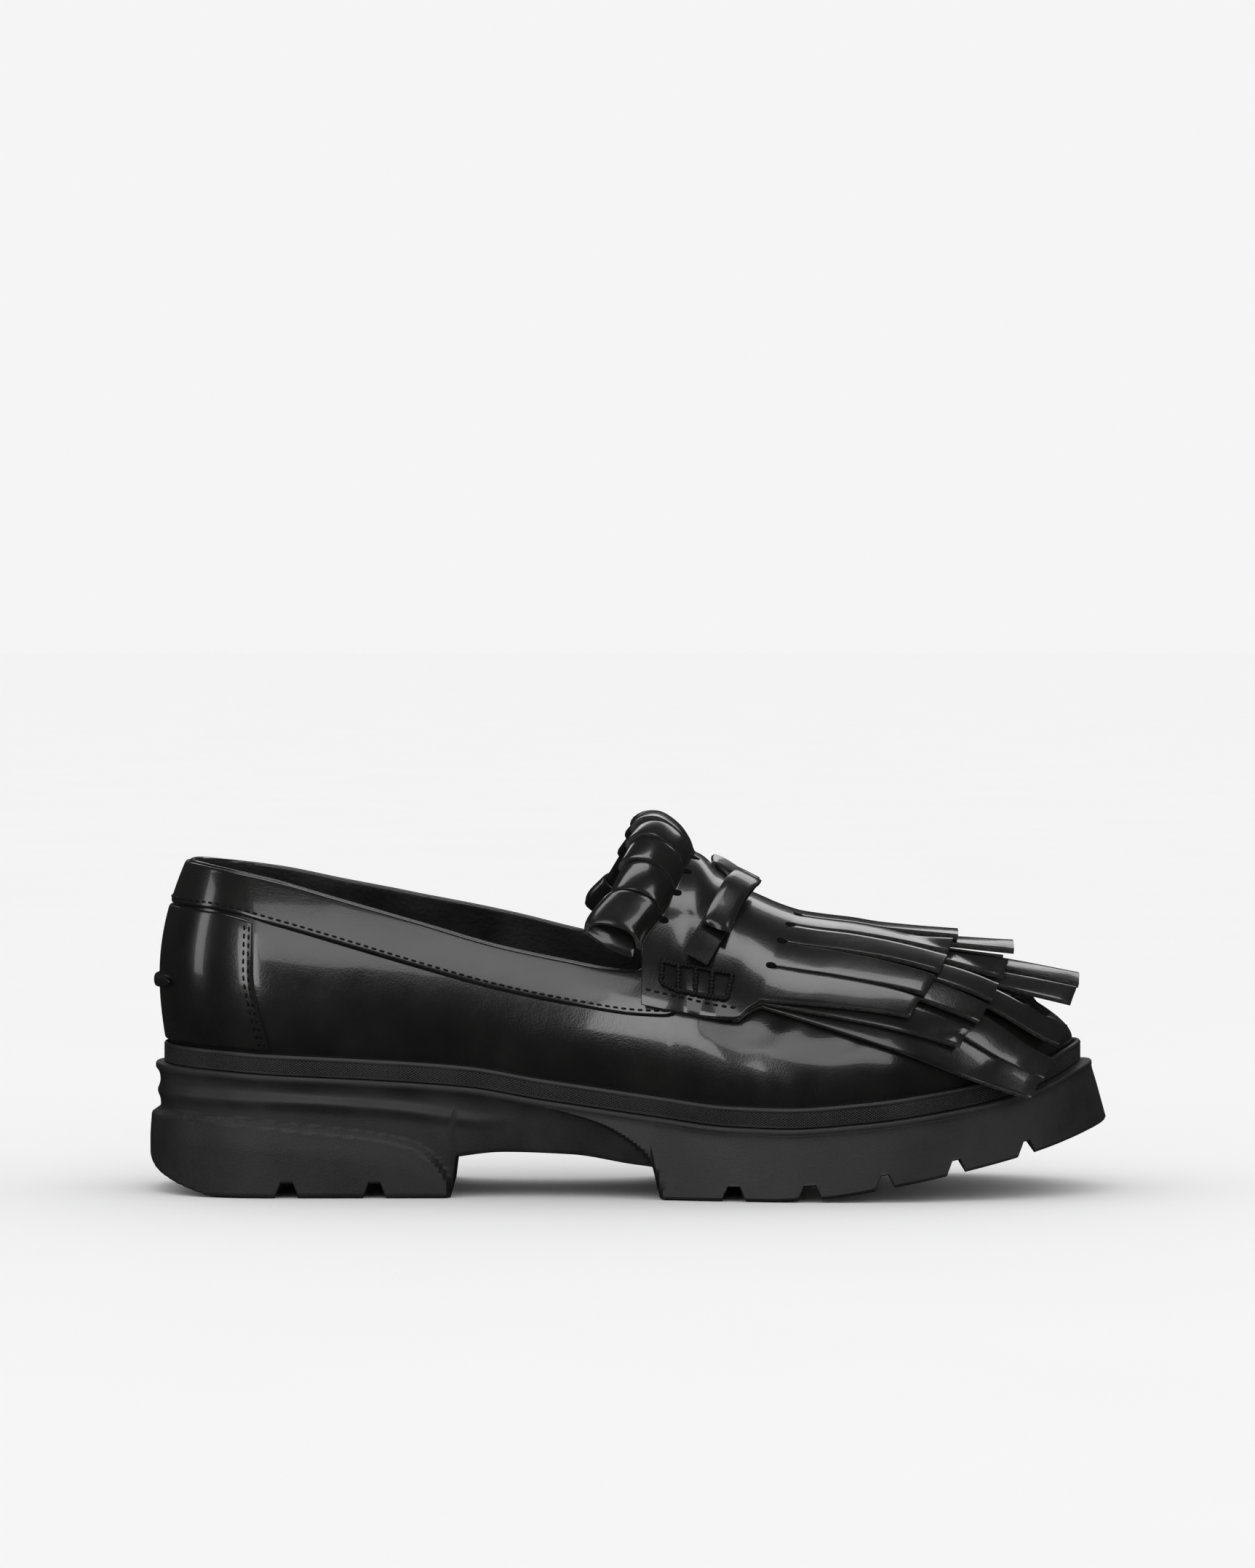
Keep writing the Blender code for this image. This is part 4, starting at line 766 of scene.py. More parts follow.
# Material helpers
class Nodes:
    """A material whose nodes are added by type and linked by name."""

    def __init__(self, name):
        self.material = bpy.data.materials.new(name)
        self.material.use_nodes = True
        self.tree = self.material.node_tree
        self.shader = self.tree.nodes["Principled BSDF"]

    def add(self, kind, **values):
        node = self.tree.nodes.new("ShaderNode" + kind)
        for key, value in values.items():
            if hasattr(node, key):
                setattr(node, key, value)
            else:
                node.inputs[key.replace("_", " ")].default_value = value
        return node

    def link(self, source, target):
        self.tree.links.new(source, target)

    def set(self, **values):
        for key, value in values.items():
            self.shader.inputs[key.replace("_", " ")].default_value = value

    def place(self, kind="Object"):
        return self.add("TexCoord").outputs[kind]

    def noise(self, where, scale, detail=3.0, roughness=0.5):
        node = self.add("TexNoise", Scale=scale, Detail=detail, Roughness=roughness)
        self.link(where, node.inputs["Vector"])
        return node.outputs["Fac"]

    def cells(self, where, scale, feature="F1"):
        node = self.add("TexVoronoi", Scale=scale, feature=feature)
        self.link(where, node.inputs["Vector"])
        return node.outputs["Distance"]

    def spread(self, value, low, high, to_low=0.0, to_high=1.0):
        node = self.add("MapRange")
        self.link(value, node.inputs["Value"])
        for key, number in (("From Min", low), ("From Max", high),
                            ("To Min", to_low), ("To Max", to_high)):
            node.inputs[key].default_value = number
        return node.outputs["Result"]

    def maths(self, operation, first, second):
        node = self.add("Math", operation=operation)
        for socket, value in zip(node.inputs, (first, second)):
            if isinstance(value, (int, float)):
                socket.default_value = value
            else:
                self.link(value, socket)
        return node.outputs[0]

    def ramp(self, value, low, high, start=0.35, end=0.65, highlight_tone=None):
        node = self.add("ValToRGB")
        node.color_ramp.elements[0].position = start
        node.color_ramp.elements[1].position = end
        node.color_ramp.elements[0].color = (*low, 1.0)
        node.color_ramp.elements[1].color = (*high, 1.0)
        if highlight_tone:
            node.color_ramp.elements.new(1.0).color = (*highlight_tone, 1.0)
        self.link(value, node.inputs["Fac"])
        return node.outputs["Color"]

    def bump(self, height, strength, distance, under=None):
        node = self.add("Bump", Strength=strength, Distance=distance)
        self.link(height, node.inputs["Height"])
        if under is not None:
            self.link(under, node.inputs["Normal"])
        return node.outputs["Normal"]


def polished_leather():
    """High-gloss leather: soft waves, fine pores, faint scuffs and a clear finish."""
    m = Nodes("polished_leather")
    where = m.place()
    m.set(Coat_Weight=0.55, Coat_Roughness=0.07, Coat_IOR=1.5, IOR=1.5)
    tone = m.noise(where, 38.0, 5.0, 0.6)
    m.link(m.ramp(tone, (0.0050, 0.0048, 0.0048), (0.0095, 0.0090, 0.0086)),
           m.shader.inputs["Base Color"])
    rub = m.noise(where, 24.0, 6.0, 0.62)
    m.link(m.spread(rub, 0.35, 0.70, 0.17, 0.30), m.shader.inputs["Roughness"])
    wave = m.bump(m.noise(where, 24.0, 2.0), 0.30, 0.0018)
    pull = m.bump(m.noise(where, 120.0, 3.0, 0.55), 0.20, 0.00035, wave)
    pores = m.bump(m.cells(where, 1700.0), 0.16, 0.00010, pull)
    grain = m.bump(m.noise(where, 2600.0, 2.0), 0.12, 0.00005, pores)
    m.link(grain, m.shader.inputs["Normal"])
    m.link(wave, m.shader.inputs["Coat Normal"])
    return m.material


def cut_edge():
    """Raw cut side of the leather: grey-green fibres under a worn dye."""
    m = Nodes("cut_leather_edge")
    where = m.place()
    m.set(IOR=1.45)
    tone = m.noise(where, 900.0, 4.0, 0.65)
    m.link(m.ramp(tone, (0.009, 0.010, 0.009), (0.038, 0.040, 0.036)),
           m.shader.inputs["Base Color"])
    m.link(m.spread(tone, 0.3, 0.7, 0.62, 0.88), m.shader.inputs["Roughness"])
    m.link(m.bump(m.noise(where, 2200.0, 3.0), 0.5, 0.00012), m.shader.inputs["Normal"])
    return m.material


def lining_leather():
    """Soft matt lining leather with small pebbles."""
    m = Nodes("lining_leather")
    where = m.place()
    m.set(IOR=1.45)
    tone = m.noise(where, 60.0, 4.0)
    m.link(m.ramp(tone, (0.012, 0.012, 0.013), (0.026, 0.025, 0.026)),
           m.shader.inputs["Base Color"])
    m.link(m.spread(tone, 0.3, 0.7, 0.42, 0.58), m.shader.inputs["Roughness"])
    folds = m.bump(m.noise(where, 90.0, 3.0), 0.25, 0.0010)
    pebbles = m.bump(m.cells(where, 850.0, "SMOOTH_F1"), 0.55, 0.00030, folds)
    m.link(m.bump(m.noise(where, 2400.0, 2.0), 0.25, 0.00008, pebbles),
           m.shader.inputs["Normal"])
    return m.material


def sole_rubber():
    """Matt moulded rubber: fine mould grain, a dusty bloom, small moulding waves and painted
    highlight on upturned edges.
    """
    m = Nodes("sole_rubber")
    where = m.place()
    m.set(IOR=1.5)
    bloom = m.noise(where, 55.0, 6.0, 0.6)
    # Painted highlight: a point value marks the lip's round and the heel block's chamfer, where noise
    # flecks make the rubber lighter and rougher
    painted_edge_highlight = m.add("Attribute", attribute_name="painted_edge_highlight").outputs["Fac"]
    highlight_flecks = m.spread(m.noise(where, 900.0, 6.0, 0.75), 0.35, 0.75, 0.0, 0.8)
    bloom = m.maths("ADD", bloom, m.maths("MULTIPLY", painted_edge_highlight, highlight_flecks))
    m.link(m.ramp(bloom, (0.0105, 0.0105, 0.0105), (0.0165, 0.0162, 0.0160),
                  highlight_tone=(0.030, 0.030, 0.029)), m.shader.inputs["Base Color"])
    m.link(m.spread(bloom, 0.3, 1.0, 0.42, 0.75), m.shader.inputs["Roughness"])
    wave = m.bump(m.noise(where, 45.0, 2.0), 0.10, 0.0010)
    grain = m.bump(m.noise(where, 1500.0, 3.0, 0.6), 0.45, 0.00012, wave)
    m.link(grain, m.shader.inputs["Normal"])
    return m.material


def welt_rubber():
    """Rubber with a small raised diamond pattern; U and V are metres along and up the welt."""
    m = Nodes("welt_rubber")
    where = m.place()
    m.set(IOR=1.5)
    bloom = m.noise(where, 55.0, 6.0, 0.6)
    m.link(m.ramp(bloom, (0.012, 0.012, 0.012), (0.021, 0.021, 0.020)),
           m.shader.inputs["Base Color"])
    m.link(m.spread(bloom, 0.3, 0.7, 0.40, 0.55), m.shader.inputs["Roughness"])
    split = m.add("SeparateXYZ")
    m.link(m.place("UV"), split.inputs[0])
    along, up = split.outputs[0], split.outputs[1]
    lines = []
    for sign in (1.0, -1.0):
        slanted = m.maths("ADD", m.maths("MULTIPLY", along, 0.62 * sign), up)
        turns = m.maths("MULTIPLY", slanted, 2 * math.pi / DIAMOND)
        lines.append(m.maths("ABSOLUTE", m.maths("SINE", turns, 0.0), 0.0))
    knobs = m.maths("MULTIPLY", lines[0], lines[1])
    knobs = m.maths("POWER", knobs, 0.6)
    inside = m.maths("MULTIPLY", m.maths("GREATER_THAN", up, DIAMOND_LOW),
                     m.maths("LESS_THAN", up, DIAMOND_HIGH))
    pattern = m.bump(m.maths("MULTIPLY", knobs, inside), 0.9, 0.00045)
    m.link(m.bump(m.noise(where, 1500.0, 3.0), 0.3, 0.00010, pattern), m.shader.inputs["Normal"])
    return m.material


def thread():
    """Waxed black sewing thread."""
    m = Nodes("waxed_thread")
    where = m.place()
    m.set(IOR=1.5, Specular_IOR_Level=0.22)
    tone = m.noise(where, 1500.0, 3.0)
    m.link(m.ramp(tone, (0.0015, 0.0015, 0.0015), (0.0055, 0.0055, 0.0055)),
           m.shader.inputs["Base Color"])
    m.link(m.spread(tone, 0.3, 0.7, 0.45, 0.68), m.shader.inputs["Roughness"])
    m.link(m.bump(tone, 0.5, 0.00010), m.shader.inputs["Normal"])
    return m.material


def hole_shade():
    """Painted shade for the dark inside of a punched hole, with a little raw fibre."""
    m = Nodes("hole_shade")
    tone = m.noise(m.place(), 1800.0, 3.0)
    m.set(Specular_IOR_Level=0.05)
    m.link(m.ramp(tone, (0.001, 0.001, 0.001), (0.006, 0.006, 0.006)),
           m.shader.inputs["Base Color"])
    m.link(m.spread(tone, 0.3, 0.7, 0.85, 0.98), m.shader.inputs["Roughness"])
    m.link(m.bump(tone, 0.5, 0.00010), m.shader.inputs["Normal"])
    return m.material


# Mesh helpers
def finish_piece(name, mesh, materials, angle=40.0):
    """Object from a mesh: smooth shading, sharp edges past an angle, and its place in the shoe."""
    for material in materials:
        mesh.materials.append(material)
    mesh.shade_smooth()
    mesh.set_sharp_from_angle(angle=math.radians(angle))
    piece = bpy.data.objects.new(name, mesh)
    bpy.context.scene.collection.objects.link(piece)
    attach(piece, "root")
    return piece


def mesh_piece(name, points, faces, materials, marks=None, uv=None, angle=40.0):
    """Piece from points and faces; marks gives the material's number of each face."""
    mesh = bpy.data.meshes.new(name)
    mesh.from_pydata(np.asarray(points, float).tolist(), [], faces)
    if marks is not None:
        mesh.polygons.foreach_set("material_index", np.asarray(marks, np.int32))
    if uv is not None:
        layer = mesh.uv_layers.new(name="Along")
        corners = np.zeros(len(mesh.loops), np.int32)
        mesh.loops.foreach_get("vertex_index", corners)
        layer.data.foreach_set("uv", np.asarray(uv, float)[corners].ravel())
    mesh.validate()
    mesh.update()
    return finish_piece(name, mesh, materials, angle)


def grid_index(rows, columns, wrap_rows=False, wrap_columns=False, start=0):
    """Quads of a grid as an array of corner numbers, with either direction closed if asked."""
    row = np.arange(rows if wrap_rows else rows - 1)
    column = np.arange(columns if wrap_columns else columns - 1)
    row, column = np.meshgrid(row, column, indexing="ij")
    above = (row + 1) % rows
    beside = (column + 1) % columns
    quads = np.stack([row * columns + column, row * columns + beside,
                      above * columns + beside, above * columns + column], axis=-1)
    return quads.reshape(-1, 4) + start


def grid_normals(grid, wrap_columns=False):
    """Unit normals of a grid of points, rows first."""
    if wrap_columns:
        padded = np.concatenate([grid[:, -1:], grid, grid[:, :1]], axis=1)
        along = (padded[:, 2:] - padded[:, :-2]) / 2
    else:
        along = np.gradient(grid, axis=1)
    up = np.gradient(grid, axis=0)
    normals = np.cross(along, up)
    lengths = np.linalg.norm(normals, axis=2, keepdims=True)
    return normals / np.maximum(lengths, 1e-12)


# Sizes that only the looks use
DIAMOND = 0.00150
DIAMOND_LOW = 0.0006
DIAMOND_HIGH = 0.0048
LIP_ROUND = 0.0007
HEEL_ROUND_RUN = 0.0220
HEEL_ROUND_RISE = 0.0146
HEEL_ROUND_CURVE = 2.7


def point_value(piece, name, values):
    """A number kept on each point, for a material to read."""
    layer = piece.data.attributes.new(name, "FLOAT", "POINT")
    layer.data.foreach_set("value", np.asarray(values, np.float32).ravel())


def dense_stations(heel, middle, toe, extra=()):
    stations = np.concatenate([
        np.linspace(0, 1, heel, endpoint=False),
        1 + np.linspace(0, 1, middle, endpoint=False),
        2 + np.linspace(0, 1, toe),
    ])
    extra = np.array(sorted(extra))
    if len(extra):
        near = np.abs(stations[:, None] - extra[None, :]).min(axis=1) < 0.0022
        ends = (stations == 0) | (stations == 3)
        stations = np.unique(np.concatenate([stations[~near | ends], extra]))
    return stations


def ring_sides(stations):
    """Side and station of every point of a closed ring, outer side first."""
    sides = [LATERAL] * len(stations) + [MEDIAL] * (len(stations) - 2)
    return sides, np.concatenate([stations, stations[-2:0:-1]])


def heel_rounded(x, z):
    """The back of the heel is cut off by a curve that runs out on the floor."""
    left = np.clip(1 - z / HEEL_ROUND_RISE, 0, 1)
    return np.maximum(x, BACK + HEEL_ROUND_RUN * left**HEEL_ROUND_CURVE)


def look_outsole():
    edges = []
    for where, width in LUG_GAPS:
        half = width * LUG_GAP / 2
        for x in (-half, -half + LUG_SLOPE, half - LUG_SLOPE, half):
            edges.append(station_at(place(where) + x))
    for where in (HEEL_BREAST, HEEL_BREAST_TOP, BALL_BREAST_TOP, BALL_BREAST):
        edges.append(station_at(place(where)))
    stations = dense_stations(44, 190, 60, edges)
    count = 2 * len(stations) - 2
    rings = []
    painted_edge_highlight = []

    # rub is the share of painted highlight that a ring of the sole gets
    def add(offset, height, rub=0.0):
        rings.append(loop_of(stations, offset, lambda x, _: height(x)))
        flange_x = rings[-1][:, 0]
        painted_edge_highlight.append(rub(flange_x) if callable(rub) else np.full(count, rub))

    # Rows of the sole's lip: inward, drop, and the share of painted highlight on the lip's round
    # (rub)
    lip = (
        (-5.5 * SIDE_RECESS, 0.0, 0.0),
        (-1.2 * LIP_ROUND, 0.0, 0.0),
        (-0.45 * LIP_ROUND, 0.14 * LIP_ROUND, 0.4),
        (-0.12 * LIP_ROUND, 0.45 * LIP_ROUND, 0.4),
        (0.0, 1.0 * LIP_ROUND, 0.1),
        (0.0, 0.80 * FLANGE_LIP, 0.0),
        (-0.10 * SIDE_RECESS, 1.02 * FLANGE_LIP, 0.0),
    )
    for inward, drop, rub in lip:
        add(lambda x, inward=inward: np.full_like(x, inward),
            lambda x, drop=drop: flange_top(x) - drop, rub)
    steps = 58
    for step in range(steps + 1):
        part = step / steps

        def height(x, part=part):
            top = flange_top(x) - 1.1 * FLANGE_LIP
            low = tread(x) + LUG_DEPTH + 1.4 * TREAD_EDGE
            return top + (low - top) * part

        def offset(x, height=height):
            z = height(x)
            below = flange_top(x) - FLANGE_LIP - z
            settle = 1 - np.exp(-np.maximum(below, 0) / (1.1 * SIDE_RECESS))
            return sole_offset(x, z) * settle

        # rub: painted highlight just under the heel block's edge, on its upturned chamfer
        def rub(x, height=height):
            edge = through(BLOCK_TOP, 1, share(x)) - height(x)
            near = np.exp(-(((edge - 0.7 * SIDE_RECESS) / (0.9 * SIDE_RECESS)) ** 2))
            return near * (share(x) < 0.30)

        add(offset, height, rub)
    for part in (0.78, 0.56, 0.34, 0.14, 0.0):
        def foot(x, part=part):
            low = tread(x) + TREAD_EDGE + LUG_DEPTH * groove(x)
            high = tread(x) + LUG_DEPTH + 1.4 * TREAD_EDGE
            return low + (high - low) * part

        add(lambda x, foot=foot: sole_offset(x, foot(x)), foot)
    for inward, rise in ((-0.3, 0.35), (-1.0, 0.0)):
        add(lambda x, inward=inward: sole_offset(x, tread(x) + TREAD_EDGE) + inward * TREAD_EDGE,
            lambda x, rise=rise: tread(x) + rise * TREAD_EDGE + LUG_DEPTH * groove(x))
    points = np.vstack(rings)
    points[:, 0] = heel_rounded(points[:, 0], points[:, 2])
    faces = grid_index(len(rings), count, False, True)[:, [0, 3, 2, 1]].tolist()
    faces += cap_faces(0, count, len(stations), True)
    faces += cap_faces((len(rings) - 1) * count, count, len(stations), False)
    piece = mesh_piece("sole_unit", points, faces, [SOLE], angle=28.0)
    point_value(piece, "painted_edge_highlight", np.concatenate(painted_edge_highlight))
    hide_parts("outsole")
    return piece


def look_welt():
    """Rubber strip with a diamond pattern on its side and a smooth bead on top."""
    stations = dense_stations(44, 150, 60)
    count = 2 * len(stations) - 2

    def inner(x):
        return -(upper_inset(x) - GAP)

    def outer(x):
        return -(WELT_INSET + 0.5 * TOE_EXTRA_INSET * ease(share(x), 0.6, 1.0))

    section = (
        (0.30, 0.00), (0.02, 0.00), (0.00, 0.03), (0.00, 0.25), (0.00, 0.50), (0.00, 0.74),
        (0.05, 0.77), (0.04, 0.80), (-0.02, 0.84), (0.02, 0.92), (0.14, 0.98), (0.34, 1.01),
        (0.56, 0.99), (0.76, 0.91), (0.88, 0.78), (0.94, 0.55), (1.00, 0.50), (1.00, 0.00),
    )
    rings = []
    heights = []
    for inward, rise in section:
        rings.append(loop_of(
            stations,
            lambda x, inward=inward: outer(x) + inward * (inner(x) - outer(x)),
            lambda x, _, rise=rise: flange_top(x) + GAP + rise * (WELT_HEIGHT - GAP),
        ))
        heights.append(rise * (WELT_HEIGHT - GAP))
    points = np.vstack(rings)
    base = rings[1]
    run = np.zeros(count)
    for order in (range(1, len(stations)), range(count - 1, len(stations) - 1, -1)):
        before = 0
        total = 0.0
        for index in order:
            total += float(np.linalg.norm(base[index] - base[before]))
            run[index] = total
            before = index
    uv = np.column_stack([np.tile(run, len(section)), np.repeat(heights, count)])
    faces = grid_index(len(rings), count, True, True)[:, ::-1].tolist()
    piece = mesh_piece("welt_strip", points, faces, [WELT], uv=uv, angle=50.0)
    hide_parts("welt")
    return piece


def look_insole():
    """Sock lining: a thin pad that is crowned a little between its edges."""
    stations = dense_stations(16, 70, 22)[1:-1]
    across = np.linspace(-1, 1, 19)
    top = np.zeros((len(stations), len(across), 3))
    ends = {}
    for side in (LATERAL, MEDIAL):
        flange_x, _ = plan(side, stations, 0.0)
        x, y = plan(side, stations, -(upper_inset(flange_x) + LEATHER + 2 * SOFT_GAP))
        ends[side] = np.column_stack([x, y, flange_top(flange_x) + GAP + INSOLE_THICKNESS])
    for column, value in enumerate(across):
        part = (value + 1) / 2
        top[:, column] = ends[LATERAL] * (1 - part) + ends[MEDIAL] * part
        top[:, column, 2] += 0.35 * INSOLE_THICKNESS * (value**2 - 1) * ease(
            share(top[:, column, 0]), 0.0, 0.2)
    edge = np.minimum(1, (1 - np.abs(across)) / 0.06)
    top[:, :, 2] -= 0.25 * INSOLE_THICKNESS * (1 - np.sqrt(1 - (1 - edge) ** 2))[None, :]
    low = top.copy()
    low[:, :, 2] -= 0.60 * INSOLE_THICKNESS
    closed_sheet("sock_lining", top, low, [LINING], replaces="insole")


def closed_sheet(name, top, low, materials, replaces=None, rim=0, angle=40.0):
    """Solid between two grids of the same shape, with its rim in the rim's material."""
    rows, columns = top.shape[:2]
    count = rows * columns
    points = np.concatenate([top.reshape(-1, 3), low.reshape(-1, 3)])
    up = grid_index(rows, columns)
    down = grid_index(rows, columns, start=count)[:, ::-1]
    border = np.concatenate([
        np.arange(columns),
        np.arange(1, rows) * columns + columns - 1,
        (rows - 1) * columns + np.arange(columns - 2, -1, -1),
        np.arange(rows - 2, 0, -1) * columns,
    ])
    following = np.roll(border, -1)
    wall = np.stack([following, border, border + count, following + count], axis=1)
    faces = np.concatenate([up, down, wall])
    marks = np.concatenate([np.zeros(len(up) + len(down)), np.full(len(wall), rim)])
    piece = mesh_piece(name, points, faces.tolist(), materials, marks, angle=angle)
    if replaces:
        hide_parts(replaces)
    return piece


# Creases of the upper: side, share of the length, share of the turn up the last, half length,
# half width, slope, height; lengths are shares of the ball width, the height is in leathers
CREASES = (
    (LATERAL, 0.235, 0.30, 0.20, 0.060, 0.25, -0.16),
    (LATERAL, 0.330, 0.42, 0.30, 0.080, -0.30, 0.14),
    (LATERAL, 0.420, 0.36, 0.26, 0.060, 0.20, -0.20),
    (LATERAL, 0.470, 0.46, 0.24, 0.055, -0.15, 0.16),
    (LATERAL, 0.560, 0.34, 0.20, 0.045, 0.55, -0.22),
    (LATERAL, 0.600, 0.42, 0.18, 0.040, 0.60, 0.18),
    (LATERAL, 0.640, 0.28, 0.16, 0.035, 0.80, -0.24),
    (LATERAL, 0.672, 0.34, 0.14, 0.030, 0.90, 0.16),
    (LATERAL, 0.720, 0.24, 0.12, 0.030, 0.60, -0.14),
    (MEDIAL, 0.250, 0.34, 0.22, 0.060, -0.25, -0.14),
    (MEDIAL, 0.390, 0.40, 0.30, 0.075, 0.25, 0.16),
    (MEDIAL, 0.480, 0.34, 0.24, 0.055, -0.30, -0.20),
    (MEDIAL, 0.575, 0.38, 0.20, 0.045, 0.50, -0.20),
    (MEDIAL, 0.625, 0.30, 0.16, 0.040, 0.70, 0.18),
    (MEDIAL, 0.665, 0.26, 0.15, 0.032, 0.85, -0.22),
    (MEDIAL, 0.715, 0.24, 0.12, 0.030, 0.70, 0.14),
)
APRON_TURN = 0.60
APRON_HIGH = 0.00075
APRON_WIDE = 0.0011
PULL_HIGH = 0.00013
PULL_LONG = 0.0125
WALL_EDGE = 7


def crease_height(side, x, turn, girth):
    """Soft troughs and ridges placed one by one, the lasting pulls at the foot, the toe's seam."""
    rise = np.zeros_like(x)
    for of_side, where, at_turn, long, wide, slope, height in CREASES:
        if of_side != side:
            continue
        along = x - place(where)
        up = (turn - at_turn) * girth
        tilt = math.hypot(1.0, slope)
        forward = (along + slope * up) / tilt
        beside = (up - slope * along) / tilt
        bend = 0.35 * forward**2 / (long * BALL_WIDTH)
        shape = np.exp(-((forward / (long * BALL_WIDTH)) ** 2)
                       - ((beside - bend) / (wide * BALL_WIDTH)) ** 2)
        rise += height * LEATHER * shape
    foot = np.exp(-((turn * girth / (0.085 * BALL_WIDTH)) ** 2))
    pulls = np.sin(2 * math.pi * x / PULL_LONG + 1.3 * np.sin(2 * math.pi * x / (3.7 * PULL_LONG)))
    rise += PULL_HIGH * foot * pulls
    front = ease(share(x), 0.70, 0.78)
    seam = (turn - APRON_TURN) * girth / APRON_WIDE
    rise += APRON_HIGH * front * (np.exp(-(seam**2)) - 0.45 * np.exp(-((seam - 2.6) ** 2)))
    return rise


def look_upper():
    """Leather shell with its lining: foot, outside, rolled rim at the collar, inside."""
    throat = [station_at(place(row[0])) for row in TOPLINE[-6:]]
    stations = dense_stations(40, 170, 56, np.linspace(throat[0], throat[-1], 16))
    sides, at = ring_sides(stations)
    count = len(at)
    tops = {}
    for side in (LATERAL, MEDIAL):
        tops[side] = np.array([turn_at(side, s, topline(side)) for s in stations])
    closed = (tops[LATERAL] >= 1.0) | (tops[MEDIAL] >= 1.0)
    for side in (LATERAL, MEDIAL):
        tops[side][closed] = 1.0
    top = np.concatenate([tops[LATERAL], tops[MEDIAL][-2:0:-1]])
    shut = np.concatenate([closed, closed[-2:0:-1]])
    levels = 64
    share_up = (np.linspace(0, 1, levels) ** 0.92)[:, None]
    turns = share_up * top[None, :]
    outer = np.zeros((levels + 1, count, 3))
    half = len(stations)
    for side, columns in ((LATERAL, slice(0, half)), (MEDIAL, slice(half, count))):
        spread_at = np.broadcast_to(at[columns], turns[:, columns].shape)
        points = last_point(side, spread_at, turns[:, columns])
        outer[1:, columns] = np.moveaxis(points, 0, -1)
    flange_x = np.concatenate([plan(LATERAL, stations, 0.0)[0],
                               plan(MEDIAL, stations[-2:0:-1], 0.0)[0]])
    outer[0] = outer[1]
    outer[0, :, 2] = flange_top(flange_x) + GAP
    normals = grid_normals(outer, True)
    normals[:2, :, 2] = 0.0
    normals /= np.linalg.norm(normals, axis=2, keepdims=True)
    ridge = np.broadcast_to(shut, (levels + 1, count)) & (np.arange(levels + 1) == levels)[:, None]
    normals[ridge, 1] = 0.0
    normals /= np.maximum(np.linalg.norm(normals, axis=2, keepdims=True), 1e-9)
    steps = np.linalg.norm(np.diff(outer, axis=0), axis=2).sum(axis=0)
    girth = steps / np.maximum(top, 1e-6)
    level_turn = np.vstack([np.zeros(count), turns])
    rise = np.zeros((levels + 1, count))
    for side, columns in ((LATERAL, slice(0, half)), (MEDIAL, slice(half, count))):
        rise[:, columns] = crease_height(side, outer[:, columns, 0], level_turn[:, columns],
                                         girth[None, columns])
    rise[0] = rise[1]
    rise[ridge] = 0.0
    outer = outer + normals * rise[:, :, None]
    inner = outer - normals * LEATHER
    middle = (outer[-1] + inner[-1]) / 2
    up = outer[-1] - outer[-2]
    up /= np.maximum(np.linalg.norm(up, axis=1, keepdims=True), 1e-9)
    across = (outer[-1] - inner[-1]) / 2
    rim = []
    for step in range(1, WALL_EDGE):
        angle = math.pi * step / WALL_EDGE
        rim.append(middle + across * math.cos(angle) + up * math.sin(angle) * LEATHER / 2)
    rows = np.concatenate([outer, np.array(rim), inner[::-1]])
    quads = grid_index(len(rows), count, False, True)
    row_of = quads[:, 0] // count
    column_of = quads[:, 0] % count
    in_rim = (row_of >= levels) & (row_of < levels + WALL_EDGE)
    quads = quads[~(in_rim & shut[column_of] & shut[(column_of + 1) % count])]
    row_of = quads[:, 0] // count
    marks = (row_of >= levels + WALL_EDGE - 1).astype(int)
    piece = mesh_piece("upper_leather", rows.reshape(-1, 3), quads.tolist(), [PATENT, LINING],
                       marks, angle=50.0)
    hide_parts("upper")
    return piece


def raised_patch(name, base, normals, thick, edge, material, replaces, lift=SOFT_GAP):
    """Flat leather laid on a surface, its borders rounded off over a short width."""
    rows, columns = base.shape[:2]
    down = np.concatenate([[0], np.cumsum(np.linalg.norm(np.diff(base, axis=0), axis=2).mean(1))])
    along = np.concatenate([[0], np.cumsum(np.linalg.norm(np.diff(base, axis=1), axis=2).mean(0))])
    near = np.minimum.outer(np.minimum(down, down[-1] - down), np.minimum(along, along[-1] - along))
    rounded = np.sqrt(np.clip(1 - (1 - np.clip(near / edge, 0, 1)) ** 2, 0, 1))
    top = base + normals * (lift + thick * (0.25 + 0.75 * rounded))[:, :, None]
    low = base + normals * 0.15 * lift
    closed_sheet(name, top, low, [material], replaces)


def crowded(count, edge):
    """Shares from 0 to 1 that are closer together at both ends, within an edge's share."""
    ends = edge * np.array([0, 0.12, 0.35, 0.65])
    return np.concatenate([ends, np.linspace(edge, 1 - edge, count), 1 - ends[::-1]])


def over_last(side, station, turn):
    """Point and normal of the upper's outside at arrays of stations and turns."""
    step = 1e-3
    point = last_point(side, station, turn)
    up = last_point(side, station, np.minimum(turn + step, 1)) - last_point(
        side, station, np.maximum(turn - step, 0))
    along = last_point(side, station + step, turn) - last_point(
        side, np.maximum(station - step, 0), turn)
    normal = np.cross(np.moveaxis(along, 0, -1), np.moveaxis(up, 0, -1))
    normal = normal * (1 if side == LATERAL else -1)
    normal /= np.maximum(np.linalg.norm(normal, axis=-1, keepdims=True), 1e-12)
    return np.moveaxis(point, 0, -1), normal


